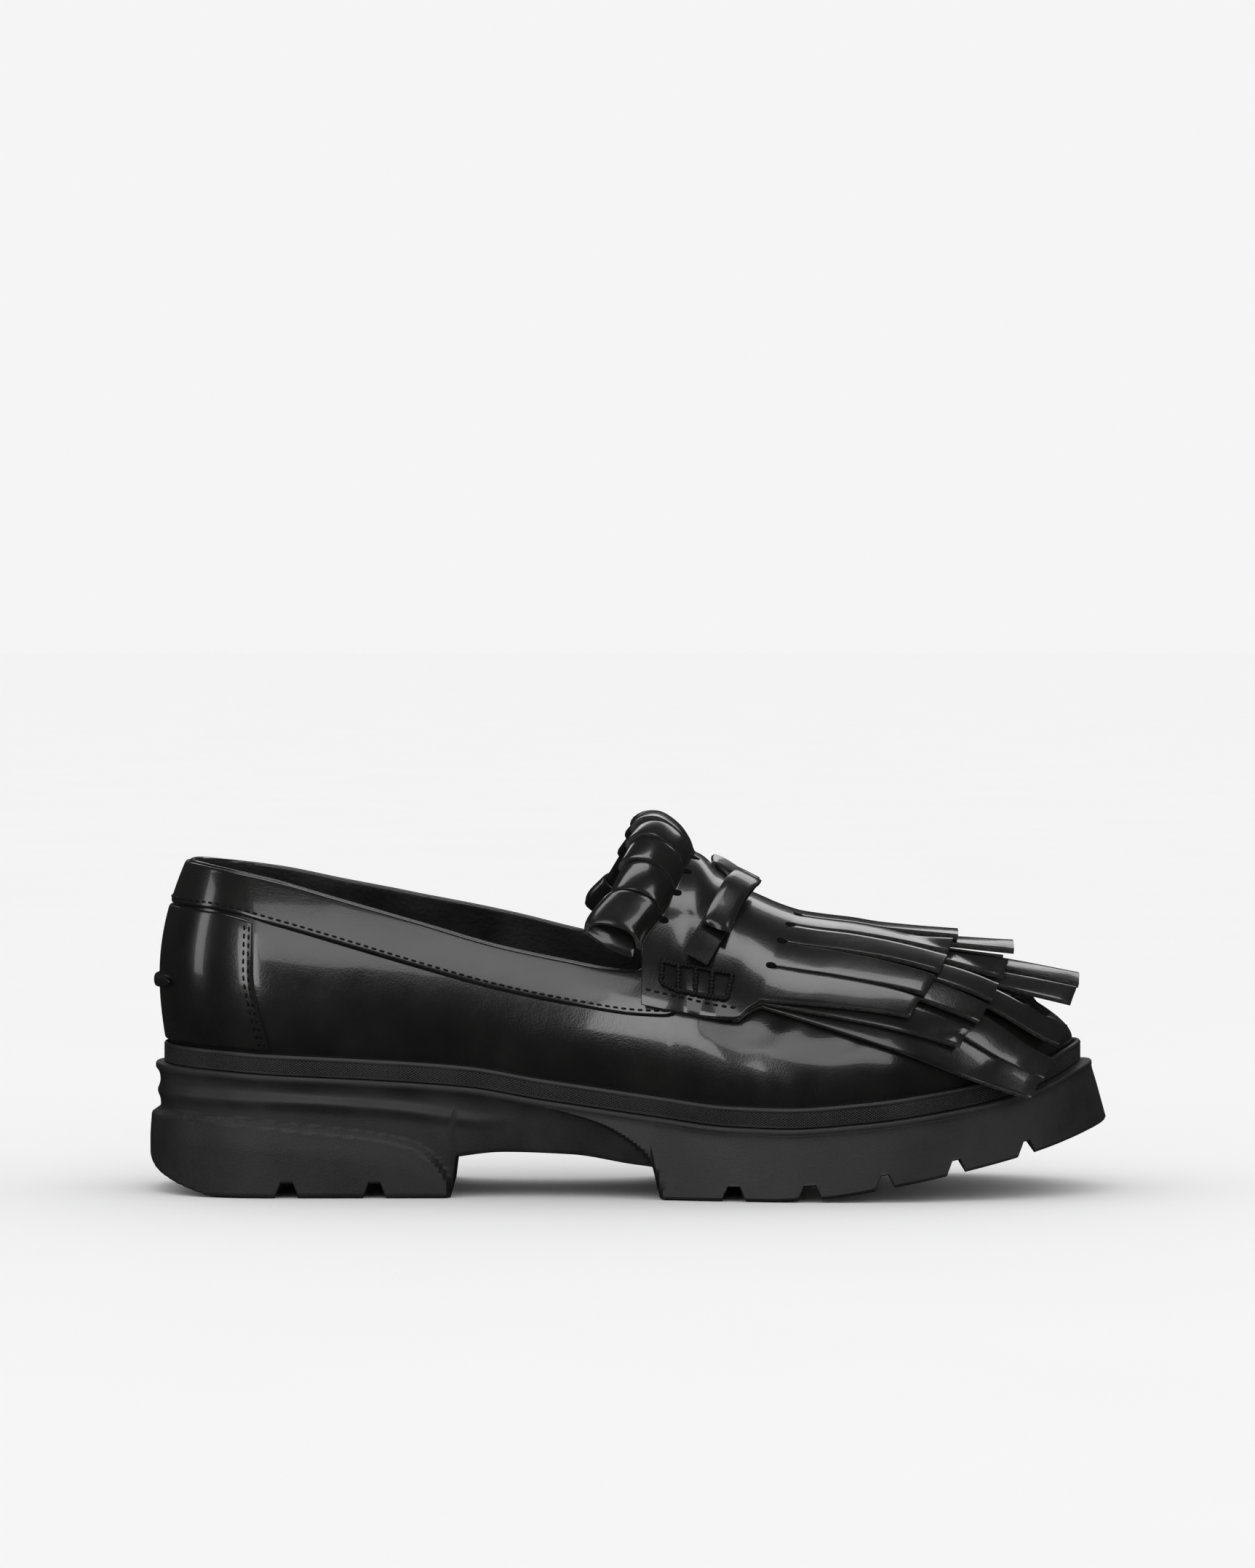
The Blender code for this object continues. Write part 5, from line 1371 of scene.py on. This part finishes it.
def look_collar_band():
    front = station_at(place(BAND_END))
    stations = np.unique(np.concatenate([
        np.linspace(0, 1, 40), np.linspace(1, station_at(place(BAND_ROUND)), 110),
        np.linspace(station_at(place(BAND_ROUND)), front, 14)]))
    columns = [(LATERAL, s) for s in stations[::-1]] + [(MEDIAL, s) for s in stations[1:]]
    rows = crowded(11, 0.09)
    base = np.zeros((len(rows), len(columns), 3))
    normals = np.zeros_like(base)
    for column, (side, station) in enumerate(columns):
        edges = band_heights(side)
        low = turn_at(side, station, lambda x, edges=edges: edges(x)[0])
        high = turn_at(side, station, lambda x, edges=edges: edges(x)[1])
        turn = low + (high - low) * rows
        base[:, column], normals[:, column] = over_last(side, np.full_like(turn, station), turn)
    normals[:, columns.index((LATERAL, 0.0)), 1] = 0.0
    raised_patch("collar_band_leather", base[:, ::-1], normals[:, ::-1], BAND_THICKNESS, 0.0011,
                 PATENT, "collar_band")


def look_heel_counter():
    rows = crowded(26, 0.03)
    across = -1 + 2 * crowded(66, 0.015)
    base = np.zeros((len(rows), len(across), 3))
    normals = np.zeros_like(base)
    highs = {}
    for row, level in enumerate(rows):
        front = station_at(place(float(through(COUNTER_FRONT, 1, level))))
        for column, value in enumerate(across):
            side = LATERAL if value < 0 else MEDIAL
            station = abs(value) * front
            key = (side, round(station, 2))
            if key not in highs:
                edges = band_heights(side)
                highs[key] = turn_at(side, station, lambda x, e=edges: e(x)[0] - 2 * SOFT_GAP)
            turn = np.array([COUNTER_FOOT + (highs[key] - COUNTER_FOOT) * level])
            point, normal = over_last(side, np.array([station]), turn)
            base[row, column] = point[0]
            normals[row, column] = normal[0]
    raised_patch("heel_counter_leather", base, normals, COUNTER_THICKNESS, 0.0009, PATENT,
                 "heel_counter", COUNTER_GAP)


def look_heel_tab():
    """Short piped seam across the heel back, thin at its two ends."""
    across = np.linspace(-1, 1, 60)
    around = np.linspace(0, 2 * math.pi, 13)[:-1]
    points = np.zeros((len(across), len(around), 3))
    for row, value in enumerate(across):
        side = LATERAL if value < 0 else MEDIAL
        station = abs(value) * TAB_REACH
        turn = turn_at(side, station, lambda x: np.full_like(x, (TAB_LOW + TAB_HIGH) / 2))
        point, normal = over_last(side, np.array([station]), np.array([turn]))
        thin = max(1 - abs(value) ** 6, 0.0) ** 0.5
        out = COUNTER_GAP + COUNTER_THICKNESS + SOFT_GAP + 0.5 * TAB_THICKNESS
        centre = point[0] + normal[0] * out
        round_ = np.cos(around)[:, None] * normal[0] * 0.55 * TAB_THICKNESS * thin
        tall = np.sin(around)[:, None] * np.array([0, 0, 1.0]) * (TAB_HIGH - TAB_LOW) / 2 * thin
        points[row] = centre + round_ + tall
    quads = grid_index(len(across), len(around), False, True)
    caps = [tuple(range(len(around))),
            tuple((len(across) - 1) * len(around) + np.arange(len(around))[::-1])]
    piece = mesh_piece("heel_tab_seam", points.reshape(-1, 3), quads[:, ::-1].tolist() + caps,
                       [PATENT])
    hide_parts("heel_tab")


# Kiltie looks: root openings and slits in metres; each strip's bow in leather thicknesses
FINE = 8
SADDLE_FINE = 30
STRIP_FINE = 26
LOOP_FINE = 34
CORNER_FINE = 6
HOLE_LONG = 0.0027
HOLE_HALF = 0.00098
SLIT = 0.00028
LOOP_SLIT = 0.00050
CUP = 0.00022
SHINGLE = 0.045
RING_LEAN = 0.24
RING_DROP = 0.0008
SMOOTHING = 2
FRINGE_BOW = {
    "top": ((0.30, 0.05), (-0.10, 0.10), (0.22, -0.14), (-0.06, 0.20), (0.20, -0.10)),
    "middle": ((0.30, -0.10), (0.10, 0.18), (-0.10, 0.10), (0.30, -0.16), (0.14, 0.10)),
    "lower": ((0.90, -0.20), (0.75, 0.30), (0.30, -0.25), (0.55, 0.30), (0.10, -0.20)),
}


class Leather:
    """Open sheet put together from grids, then given its thickness and raw cut edges."""

    def __init__(self):
        self.points = []
        self.faces = []

    def add(self, grid):
        """Adds a grid of points, rows first, outward normal by columns then rows."""
        grid = np.asarray(grid)
        start = len(self.points)
        quads = grid_index(grid.shape[0], grid.shape[1], start=start)
        self.points.extend(grid.reshape(-1, 3))
        self.faces.extend(quads[:, ::-1].tolist())

    def build(self, name, thickness, replaces):
        points, faces = merged(self.points, self.faces)
        piece = mesh_piece(name, points, faces, [PATENT, EDGE], angle=60.0)
        shell = piece.modifiers.new("Thickness", "SOLIDIFY")
        shell.thickness = thickness
        shell.offset = -1
        shell.use_even_offset = True
        shell.use_quality_normals = True
        shell.material_offset_rim = 1
        bevel = piece.modifiers.new("Edge", "BEVEL")
        bevel.width = 0.00016
        bevel.segments = 2
        bevel.limit_method = "ANGLE"
        bevel.angle_limit = math.radians(50)
        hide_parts(replaces)
        return piece


def fine_columns():
    """Shares across the saddle at its rear and front: fine columns, then the lower corner's."""
    half = [(CURL_EDGE * k / (FINE * STRIPS), k / (FINE * STRIPS)) for k in range(FINE * STRIPS + 1)]
    half += [(CURL_EDGE + (1 - CURL_EDGE) * k / CORNER_FINE, 1.0) for k in range(1, CORNER_FINE + 1)]
    return [(-rear, -front) for rear, front in half[:0:-1]] + half


def fine_saddle(sheet, lift, rear_of, rows, columns):
    grid = []
    for row in range(rows + 1):
        forward = (row / rows) ** ROW_CROWDING
        line = []
        for behind, ahead in columns:
            rear = rear_of(behind)
            across = behind + (ahead - behind) * forward
            x = rear + (slot_x(ahead) - rear) * forward
            line.append(saddle_point(x, across, lift(x, across)))
        grid.append(line)
    sheet.add(grid)


def narrowed(grid, run, cuts, slit, inner_free, outer_free):
    """The strip with its two sides drawn in: an oval opening at the root, then a slit."""
    made = grid.copy()
    width = np.linalg.norm(grid[:, -1] - grid[:, 0], axis=1)
    for row in range(1, len(grid)):
        s = run[row]
        hole = HOLE_HALF * math.sqrt(max(0.0, 1 - ((2 * s / HOLE_LONG) - 1) ** 2))
        inset = max(hole, slit * min(1.0, s / HOLE_LONG)) / width[row]
        low = 0.0 if inner_free else inset
        high = 1.0 if outer_free else 1 - inset
        places = low + cuts * (high - low)
        for axis in range(3):
            made[row, :, axis] = np.interp(places, cuts, grid[row, :, axis])
    return made


def root_rows(length, count):
    """Distances along a strip, close together at its punched hole."""
    near = HOLE_LONG * np.array([0, 0.04, 0.15, 0.32, 0.5, 0.68, 0.85, 0.96, 1.0, 1.15])
    return np.concatenate([near, np.linspace(1.15 * HOLE_LONG, length, count)[1:]])


def fine_fringe(sheet, layer, lift):
    """Ten strips, each with its own bow and cup, that end where the photograph shows them."""
    cuts = np.linspace(0, 1, FINE + 1)
    for side in (LATERAL, MEDIAL):
        for number in range(STRIPS):
            ends = [strip_end(layer, number, edge, side) for edge in (0, 1)]
            roots = []
            for cut in cuts:
                across = side * (number + cut) / STRIPS
                x = slot_x(across)
                height = lift(x, across)
                start = saddle_point(x, across, height)
                slope = saddle_point(x + SLOPE_RUN, across, height) - start
                roots.append((start, slope, height))
            length = float(np.linalg.norm((ends[0] + ends[1]) / 2 - roots[FINE // 2][0]))
            run = root_rows(length, STRIP_FINE)
            bow, wave = FRINGE_BOW[layer][number]
            grid = np.zeros((len(run), len(cuts), 3))
            for row, distance in enumerate(run):
                part = distance / length
                for column, cut in enumerate(cuts):
                    start, slope, height = roots[column]
                    end = ends[0] + (ends[1] - ends[0]) * cut
                    point = bent(start, slope, end, part, (number + cut) / STRIPS)
                    rise = bow * math.sin(math.pi * part**1.6) + wave * math.sin(
                        2.3 * math.pi * part) * part
                    rise = rise * KILTIE_LEATHER + CUP * math.sin(math.pi * cut) * min(1, 3 * part)
                    point = point + np.array([0, 0.35 * side * number / STRIPS, 1.0]) * rise
                    if row:
                        air = STRIP_AIR * min(part * 5, 2) / 2
                        point = clear_of_upper(point, side, height + air)
                    grid[row, column] = point
            for _ in range(SMOOTHING):
                inner = (grid[:-2] + 2 * grid[1:-1] + grid[2:]) / 4
                keep = np.minimum(run[1:-1] / (4 * HOLE_LONG), 1)[:, None, None]
                grid[1:-1] = grid[1:-1] * (1 - keep) + inner * keep
            grid = narrowed(grid, run, cuts, SLIT, False, number == STRIPS - 1)
            sheet.add(grid if side == MEDIAL else grid[:, ::-1])


def fine_loops(sheet, lift):
    """Ten strips behind the saddle that curl up, back and down under it."""
    cuts = np.linspace(0, 1, FINE + 1)
    for side in (LATERAL, MEDIAL):
        for number in range(STRIPS):
            lines = []
            for cut in cuts:
                down = CURL_EDGE * (number + cut) / STRIPS
                across = side * down
                x = curl_x(across)
                start = saddle_point(x, across, lift(x, across))
                forward = saddle_point(x + SLOPE_RUN, across, lift(x + SLOPE_RUN, across))
                route = [curled(start, side, number, down, step, 0.5)
                         for step in range(len(LOOP) + 1)]
                route = np.array(route)
                route = start + (route - start) * (1 + SHINGLE * (cut - 0.5))
                ahead = (forward - start) / np.linalg.norm(forward - start)
                ahead = start + ahead * np.linalg.norm(route[1] - start)
                smooth = catmull(np.vstack([ahead, route]))[1:]
                lines.append(smooth)
            length = np.linalg.norm(np.diff(lines[FINE // 2], axis=0), axis=1).sum()
            run = root_rows(length, LOOP_FINE)
            grid = np.zeros((len(run), len(cuts), 3))
            for column, line in enumerate(lines):
                steps = np.linalg.norm(np.diff(line, axis=0), axis=1)
                reach = np.concatenate([[0], np.cumsum(steps)])
                at = run * reach[-1] / length
                for axis in range(3):
                    grid[:, column, axis] = np.interp(at, reach, line[:, axis])
            grid = narrowed(grid, run, cuts, LOOP_SLIT, False, number == STRIPS - 1)
            sheet.add(grid if side == LATERAL else grid[:, ::-1])


def catmull(points, steps=14):
    """Smooth curve through points; the first point only gives the direction of the start."""
    last = 2 * points[-1] - points[-2]
    padded = np.vstack([points, last])
    made = [points[0]]
    for index in range(len(points) - 2):
        before, here, there, after = padded[index : index + 4]
        for part in np.linspace(0, 1, steps, endpoint=False):
            made.append(spline(before, here, there, after, part))
    made.append(points[-1])
    return np.array(made)


def look_kiltie():
    """Saddle with its fringe in front and its rolled loops behind."""
    def lift(x, across):
        return layer_lift(2, x, across)

    sheet = Leather()
    fine_saddle(sheet, lift, curl_x, SADDLE_FINE, fine_columns())
    fine_fringe(sheet, "top", lift)
    fine_loops(sheet, lift)
    return sheet.build("kiltie_top", KILTIE_LEATHER, "kiltie")


def look_kiltie_middle():
    def lift(x, across):
        return layer_lift(1, x, across)

    sheet = Leather()
    fine_saddle(sheet, lift, lambda across: curl_x(across) + CURL_TUCK, SADDLE_FINE,
                fine_columns())
    fine_fringe(sheet, "middle", lift)
    return sheet.build("kiltie_second", KILTIE_LEATHER, "kiltie_middle")


def look_kiltie_lower():
    def lift(x, across):
        return layer_lift(0, x, across)

    half = [(k / (FINE * STRIPS), k / (FINE * STRIPS)) for k in range(FINE * STRIPS + 1)]
    columns = [(-rear, -front) for rear, front in half[:0:-1]] + half
    sheet = Leather()
    fine_saddle(sheet, lift, lambda across: slot_x(across) - LAYER_TUCK, 6, columns)
    fine_fringe(sheet, "lower", lift)
    return sheet.build("kiltie_third", KILTIE_LEATHER, "kiltie_lower")


def look_ribbon(name, route, widths, closed, replaces):
    """Flat strip of leather with softened edges, cut ends and a slight cup."""
    count = len(route) - 1 if closed else len(route)
    section = ((-0.50, 0.12), (-0.488, 0.0), (-0.25, -0.05), (0, -0.08), (0.25, -0.05),
               (0.488, 0.0), (0.50, 0.12), (0.50, 0.88), (0.488, 1.0), (0.25, 0.95), (0, 0.92),
               (-0.25, 0.95), (-0.488, 1.0), (-0.50, 0.88))
    rings = np.zeros((count, len(section), 3))
    for index in range(count):
        if closed:
            tangent = route[(index + 1) % count] - route[index - 1]
        else:
            tangent = route[min(index + 1, count - 1)] - route[max(index - 1, 0)]
        tangent = tangent / np.linalg.norm(tangent)
        across = widths[index] - tangent * np.dot(widths[index], tangent)
        across = across / np.linalg.norm(across)
        out = np.cross(tangent, across)
        for corner, (half, deep) in enumerate(section):
            rings[index, corner] = (route[index] + across * half * BOW_WIDTH
                                    + out * deep * BOW_LEATHER)
    quads = grid_index(count, len(section), closed, True)
    marks = np.isin(quads[:, 0] % len(section), (0, 6, 7, 13)) | np.isin(
        quads[:, 1] % len(section), (0, 7))
    faces = quads[:, ::-1].tolist()
    marks = marks.astype(int).tolist()
    if not closed:
        last = (count - 1) * len(section)
        faces += [tuple(range(len(section))), tuple(range(last + len(section) - 1, last - 1, -1))]
        marks += [1, 1]
    piece = mesh_piece(name, rings.reshape(-1, 3), faces, [PATENT, EDGE],
                       marks, angle=50.0)
    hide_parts(replaces)
    return piece


def look_bow():
    """Ring over the crest, and a loop and a tail of the same ribbon on each side."""
    x = place(KNOT_PLACE)
    crest = saddle_point(x, 0.0, layer_lift(2, x, 0.0))
    ahead = saddle_point(x + SLOPE_RUN, 0.0, layer_lift(2, x + SLOPE_RUN, 0.0))
    along = (ahead - crest) / np.linalg.norm(ahead - crest)
    over = np.cross(along, (0.0, 1.0, 0.0))
    ring = []
    for angle in np.linspace(0, 2 * math.pi, 57):
        reach = along * math.cos(angle) * KNOT_LENGTH / 2
        height = KNOT_HEIGHT * (1 + math.sin(angle)) / 2
        ring.append(crest + reach + over * (height + SOFT_GAP + BOW_LEATHER))
    across = [np.array([0.0, -1.0, 0.0])] * len(ring)
    knot = look_ribbon("bow_ring", np.array(ring), across, True, "bow_knot")
    for vertex in knot.data.vertices:
        raised = (vertex.co.z - crest[2]) / KNOT_HEIGHT
        lean = RING_LEAN * (vertex.co.y - BOW_WIDTH / 2) - RING_DROP
        vertex.co.z += lean * min(max(raised, 0.0), 1.0)
    for side, word in ((LATERAL, "outer"), (MEDIAL, "inner")):
        forward = np.array([1.0, 0.0, -0.5]) * side
        loop = smooth_route(over_saddle(side, BOW_LOOP + BOW_LOOP[:1]), 73, True)
        look_ribbon("bow_bight_" + word, loop, [forward] * len(loop), True, "bow_loop_" + word)
        tail = smooth_route(over_saddle(side, BOW_TAIL), 30, False)
        look_ribbon("bow_end_" + word, tail, [-forward] * len(tail), False, "bow_tail_" + word)


# Sewing and painted shade in punched holes; a spot on the saddle is a share of the length and a share
# down its side
STITCH_LONG = 0.0018
STITCH_GAP = 0.0008
STITCH_RADIUS = 0.00038
BAND_ROW = 0.0017
COUNTER_ROWS = (0.0015, 0.0031)
CORD_LONG = 0.0021
CORD_RADIUS = 0.00082
CORD_TURN = 0.55
LATTICE_TOP = ((0.534, 0.831), (0.551, 0.836), (0.566, 0.831), (0.581, 0.826), (0.600, 0.819))
LATTICE_LOW = ((0.533, 0.913), (0.551, 0.931), (0.566, 0.931), (0.581, 0.931), (0.596, 0.931))
HEM = ((0.516, 0.944), (0.564, 0.952), (0.608, 0.962))
PUNCH_LONG = 0.0016
PUNCH_HALF = 0.0012
PUNCH_LIFT = 0.00020
ROD = ((-0.50, 0.30, -0.60), (-0.40, 0.80, -0.10), (-0.15, 1.0, 0.15),
       (0.15, 1.0, 0.15), (0.40, 0.80, -0.10), (0.50, 0.30, -0.60))


class Sewing:
    """Rounded rods laid along paths, kept together as one piece."""

    def __init__(self):
        self.points = []
        self.faces = []

    def row(self, path, normals, radius, long, gap, turn=0.0):
        run = np.concatenate([[0], np.cumsum(np.linalg.norm(np.diff(path, axis=0), axis=1))])
        count = max(int(run[-1] / (long + gap)), 1)
        sides = np.linspace(0, 2 * math.pi, 7)[:-1]
        for number in range(count):
            middle = (number + 0.5) * run[-1] / count
            ends = middle + np.array([-0.5, 0.5, 0.0]) * long
            spots = np.column_stack([np.interp(ends, run, path[:, axis]) for axis in range(3)])
            normal = np.array([np.interp(middle, run, normals[:, axis]) for axis in range(3)])
            normal = normal / np.linalg.norm(normal)
            ahead = spots[1] - spots[0]
            ahead = ahead - normal * np.dot(ahead, normal)
            ahead = ahead / np.linalg.norm(ahead)
            beside = np.cross(normal, ahead)
            angle = turn * (1 if number % 2 else -1)
            heading = ahead * math.cos(angle) + beside * math.sin(angle)
            beside = np.cross(normal, heading)
            start = len(self.points)
            for part, wide, rise in ROD:
                centre = spots[2] + heading * part * long + normal * rise * radius
                for a in sides:
                    self.points.append(centre + (normal * math.cos(a) + beside * math.sin(a))
                                       * radius * wide)
            self.faces += grid_index(len(ROD), 6, False, True, start).tolist()
            self.faces.append(tuple(start + k for k in range(5, -1, -1)))
            last = start + 6 * (len(ROD) - 1)
            self.faces.append(tuple(last + k for k in range(6)))

    def build(self, name):
        return mesh_piece(name, self.points, self.faces, [THREAD], angle=60.0)


def saddle_spot(side, part, down, lift=0.0):
    """Point and outward normal on the top layer's outside."""
    def at(x, across):
        return saddle_point(x, across, layer_lift(2, x, across) + lift)

    x = place(part)
    along = at(x + 0.001, side * down) - at(x - 0.001, side * down)
    up = at(x, side * (down - 0.01)) - at(x, side * (down + 0.01))
    normal = np.cross(along, up) * (1 if side == LATERAL else -1)
    return at(x, side * down), normal / np.linalg.norm(normal)


def saddle_path(side, spots, steps=9):
    """Path over the saddle through spots."""
    line = np.array(spots)
    at = np.linspace(0, len(line) - 1, steps * (len(line) - 1) + 1)
    parts = np.interp(at, np.arange(len(line)), line[:, 0])
    downs = np.interp(at, np.arange(len(line)), line[:, 1])
    pairs = [saddle_spot(side, part, down) for part, down in zip(parts, downs)]
    return np.array([p for p, _ in pairs]), np.array([n for _, n in pairs])


def panel_spot(side, station, turn, out):
    """Point at a distance outside the upper, and the normal there."""
    point, normal = over_last(side, np.array([station]), np.array([turn]))
    return point[0] + normal[0] * out, normal[0]


def look_band_stitches():
    """One row along the collar band's lower edge, round the heel."""
    sewing = Sewing()
    for side in (LATERAL, MEDIAL):
        edges = band_heights(side)
        stations = np.linspace(0.0, station_at(place(BAND_END) - 2 * BAND_ROW), 150)
        out = SOFT_GAP + BAND_THICKNESS
        path = []
        normals = []
        for station in stations:
            turn = turn_at(side, station, lambda x, e=edges: e(x)[0] + BAND_ROW)
            point, normal = panel_spot(side, station, turn, out)
            path.append(point)
            normals.append(normal)
        sewing.row(np.array(path), np.array(normals), STITCH_RADIUS, STITCH_LONG, STITCH_GAP)
    return sewing.build("band_stitches")


def look_counter_stitches():
    """Two rows behind the heel counter's front edge, on both sides."""
    sewing = Sewing()
    for side in (LATERAL, MEDIAL):
        edges = band_heights(side)
        for behind in COUNTER_ROWS:
            path = []
            normals = []
            for level in np.linspace(0.02, 0.96, 40):
                x = place(float(through(COUNTER_FRONT, 1, level))) - behind
                station = station_at(x)
                high = turn_at(side, station, lambda x, e=edges: e(x)[0] - 2 * SOFT_GAP)
                turn = COUNTER_FOOT + (high - COUNTER_FOOT) * level
                point, normal = panel_spot(side, station, turn, COUNTER_GAP + COUNTER_THICKNESS)
                path.append(point)
                normals.append(normal)
            sewing.row(np.array(path), np.array(normals), STITCH_RADIUS, STITCH_LONG, STITCH_GAP)
    return sewing.build("counter_stitches")


def look_saddle_sewing():
    """Braided lattice of thick cord on each side of the saddle, and its hem row below."""
    cord = Sewing()
    hem = Sewing()
    for side in (LATERAL, MEDIAL):
        bars = [LATTICE_TOP, LATTICE_LOW]
        bars += [(top, low) for top, low in zip(LATTICE_TOP, LATTICE_LOW)]
        for bar in bars:
            path, normals = saddle_path(side, bar)
            path = path + normals * 0.5 * CORD_RADIUS
            cord.row(path, normals, CORD_RADIUS, CORD_LONG, -0.45 * CORD_LONG, CORD_TURN)
        path, normals = saddle_path(side, HEM)
        hem.row(path, normals, 1.15 * STITCH_RADIUS, STITCH_LONG, STITCH_GAP)
    hem.build("saddle_hem_stitches")
    return cord.build("saddle_lattice_cord")


def look_painted_hole_shade():
    """Dark ovals laid over the leather where slits start: painted shade that stands for the shadowed
    inside of punched holes.
    """
    points = []
    faces = []
    around = np.linspace(0, 2 * math.pi, 17)[:-1]
    for side in (LATERAL, MEDIAL):
        for number in range(1, STRIPS):
            down = number / STRIPS
            front = (share(slot_x(down)) + 0.0010, down, 1.0)
            behind = CURL_EDGE * down
            rear = (share(curl_x(behind)) + 0.0015, behind + 0.004 * number, 1.0)
            for part, low, size in (front, rear):
                centre, normal = saddle_spot(side, part, low, PUNCH_LIFT)
                ahead, _ = saddle_spot(side, part + 0.004, low, PUNCH_LIFT)
                along = ahead - centre
                along = along / np.linalg.norm(along)
                beside = np.cross(normal, along)
                start = len(points)
                for a in around:
                    points.append(centre + along * math.cos(a) * PUNCH_LONG * size
                                  + beside * math.sin(a) * PUNCH_HALF * size)
                faces.append(tuple(range(start, start + len(around))))
    return mesh_piece("painted_hole_shade", points, faces, [SHADE])


# Camera, floor and lights
def aim(thing, point):
    direction = np.array(point, float) - np.array(thing.location, float)
    thing.rotation_euler = Vector(direction).to_track_quat("-Z", "Y").to_euler()


def look_camera():
    data = bpy.data.cameras.new("camera")
    camera = bpy.data.objects.new("camera", data)
    bpy.context.scene.collection.objects.link(camera)
    bpy.context.scene.camera = camera
    data.sensor_width = 36.0
    data.sensor_fit = "AUTO"
    data.lens = 36.0 * CAMERA_DISTANCE / (2156 * PIXEL)
    data.clip_end = 60.0
    tilt = math.asin(CAMERA_RISE)
    camera.location = (CAMERA_ASIDE, -CAMERA_DISTANCE * math.cos(tilt), CAMERA_DISTANCE * CAMERA_RISE)
    up = math.atan((1631 - 1078) * PIXEL / CAMERA_DISTANCE)
    camera.rotation_euler = (math.pi / 2 - tilt + up, 0.0, 0.0)


def look_floor():
    m = Nodes("pale_floor")
    where = m.place()
    tone = m.noise(where, 6.0, 3.0)
    m.link(m.ramp(tone, (0.928, 0.928, 0.928), (0.936, 0.936, 0.936)), m.shader.inputs["Base Color"])
    m.set(Roughness=0.9, Specular_IOR_Level=0.1)
    mesh = bpy.data.meshes.new("floor")
    ring = [(30 * math.cos(a), 30 * math.sin(a), -0.0002)
            for a in np.linspace(0, 2 * math.pi, 97)[:-1]]
    mesh.from_pydata(ring, [], [tuple(range(len(ring)))])
    mesh.materials.append(m.material)
    floor = bpy.data.objects.new("floor", mesh)
    bpy.context.scene.collection.objects.link(floor)
    floor.visible_glossy = False


def look_world():
    """Pale studio: the backdrop that the camera sees, soft fill light, dim sides in reflections."""
    world = bpy.data.worlds.new("studio")
    bpy.context.scene.world = world
    world.use_nodes = True
    tree = world.node_tree
    background = tree.nodes["Background"]
    path = tree.nodes.new("ShaderNodeLightPath")
    where = tree.nodes.new("ShaderNodeTexCoord")
    split = tree.nodes.new("ShaderNodeSeparateXYZ")
    tree.links.new(where.outputs["Generated"], split.inputs[0])
    fade = tree.nodes.new("ShaderNodeMapRange")
    fade.inputs["From Min"].default_value = -0.05
    fade.inputs["From Max"].default_value = 0.9
    fade.inputs["To Min"].default_value = GLOSS_LOW
    fade.inputs["To Max"].default_value = GLOSS_HIGH
    tree.links.new(split.outputs["Z"], fade.inputs["Value"])
    shiny = tree.nodes.new("ShaderNodeMix")
    shiny.data_type = "FLOAT"
    shiny.inputs[2].default_value = FILL
    tree.links.new(fade.outputs["Result"], shiny.inputs[3])
    tree.links.new(path.outputs["Is Glossy Ray"], shiny.inputs[0])
    seen = tree.nodes.new("ShaderNodeMix")
    seen.data_type = "FLOAT"
    tree.links.new(shiny.outputs[0], seen.inputs[2])
    seen.inputs[3].default_value = BACKDROP
    tree.links.new(path.outputs["Is Camera Ray"], seen.inputs[0])
    tree.links.new(seen.outputs[0], background.inputs["Strength"])
    background.inputs["Color"].default_value = (1.0, 1.0, 1.0, 1.0)


def look_lights():
    for name, place_at, target, size, power in LIGHTS:
        data = bpy.data.lights.new(name, "AREA")
        data.shape = "RECTANGLE"
        data.size, data.size_y = size
        data.energy = power
        lamp = bpy.data.objects.new(name, data)
        bpy.context.scene.collection.objects.link(lamp)
        lamp.location = place_at
        aim(lamp, target)
        lamp.visible_camera = False
        lamp.visible_diffuse = False


PIXEL = 0.0002325
CAMERA_DISTANCE = 2.0
CAMERA_RISE = 0.0906
CAMERA_ASIDE = -0.00035
BACKDROP = 0.913
FILL = 1.0
GLOSS_LOW = 0.010
GLOSS_HIGH = 0.055

# Soft boxes, seen only in reflections: name, place, aimed at, size, power
LIGHTS = (
    ("top_box", (0.05, -0.15, 1.25), (0.0, 0.0, 0.05), (1.1, 0.45), 5.0),
    ("front_box", (0.10, -1.40, 0.82), (0.0, 0.0, 0.05), (0.9, 0.70), 4.2),
    ("left_strip", (-1.35, -0.42, 0.50), (0.0, 0.0, 0.05), (0.3, 0.8), 2.0),
    ("front_left_box", (-0.56, -1.42, 0.46), (-0.02, 0.0, 0.05), (0.42, 0.72), 4.0),
    ("front_right_box", (1.2, -0.8, 0.8), (0.08, 0.0, 0.05), (0.35, 0.8), 2.6),
    ("back_box", (0.1, 1.3, 0.9), (0.0, 0.0, 0.06), (1.6, 0.4), 3.6),
)

SOLE = sole_rubber()
WELT = welt_rubber()
PATENT = polished_leather()
EDGE = cut_edge()
LINING = lining_leather()
THREAD = thread()
SHADE = hole_shade()


SAMPLES = {side: upper_samples(side) for side in (LATERAL, MEDIAL)}
look_outsole()
look_welt()
look_insole()
look_upper()
look_collar_band()
look_heel_counter()
look_heel_tab()
look_kiltie()
look_kiltie_middle()
look_kiltie_lower()
look_bow()
look_band_stitches()
look_counter_stitches()
look_saddle_sewing()
look_painted_hole_shade()
look_camera()
look_floor()
look_world()
look_lights()
bpy.context.scene.view_settings.view_transform = "Standard"
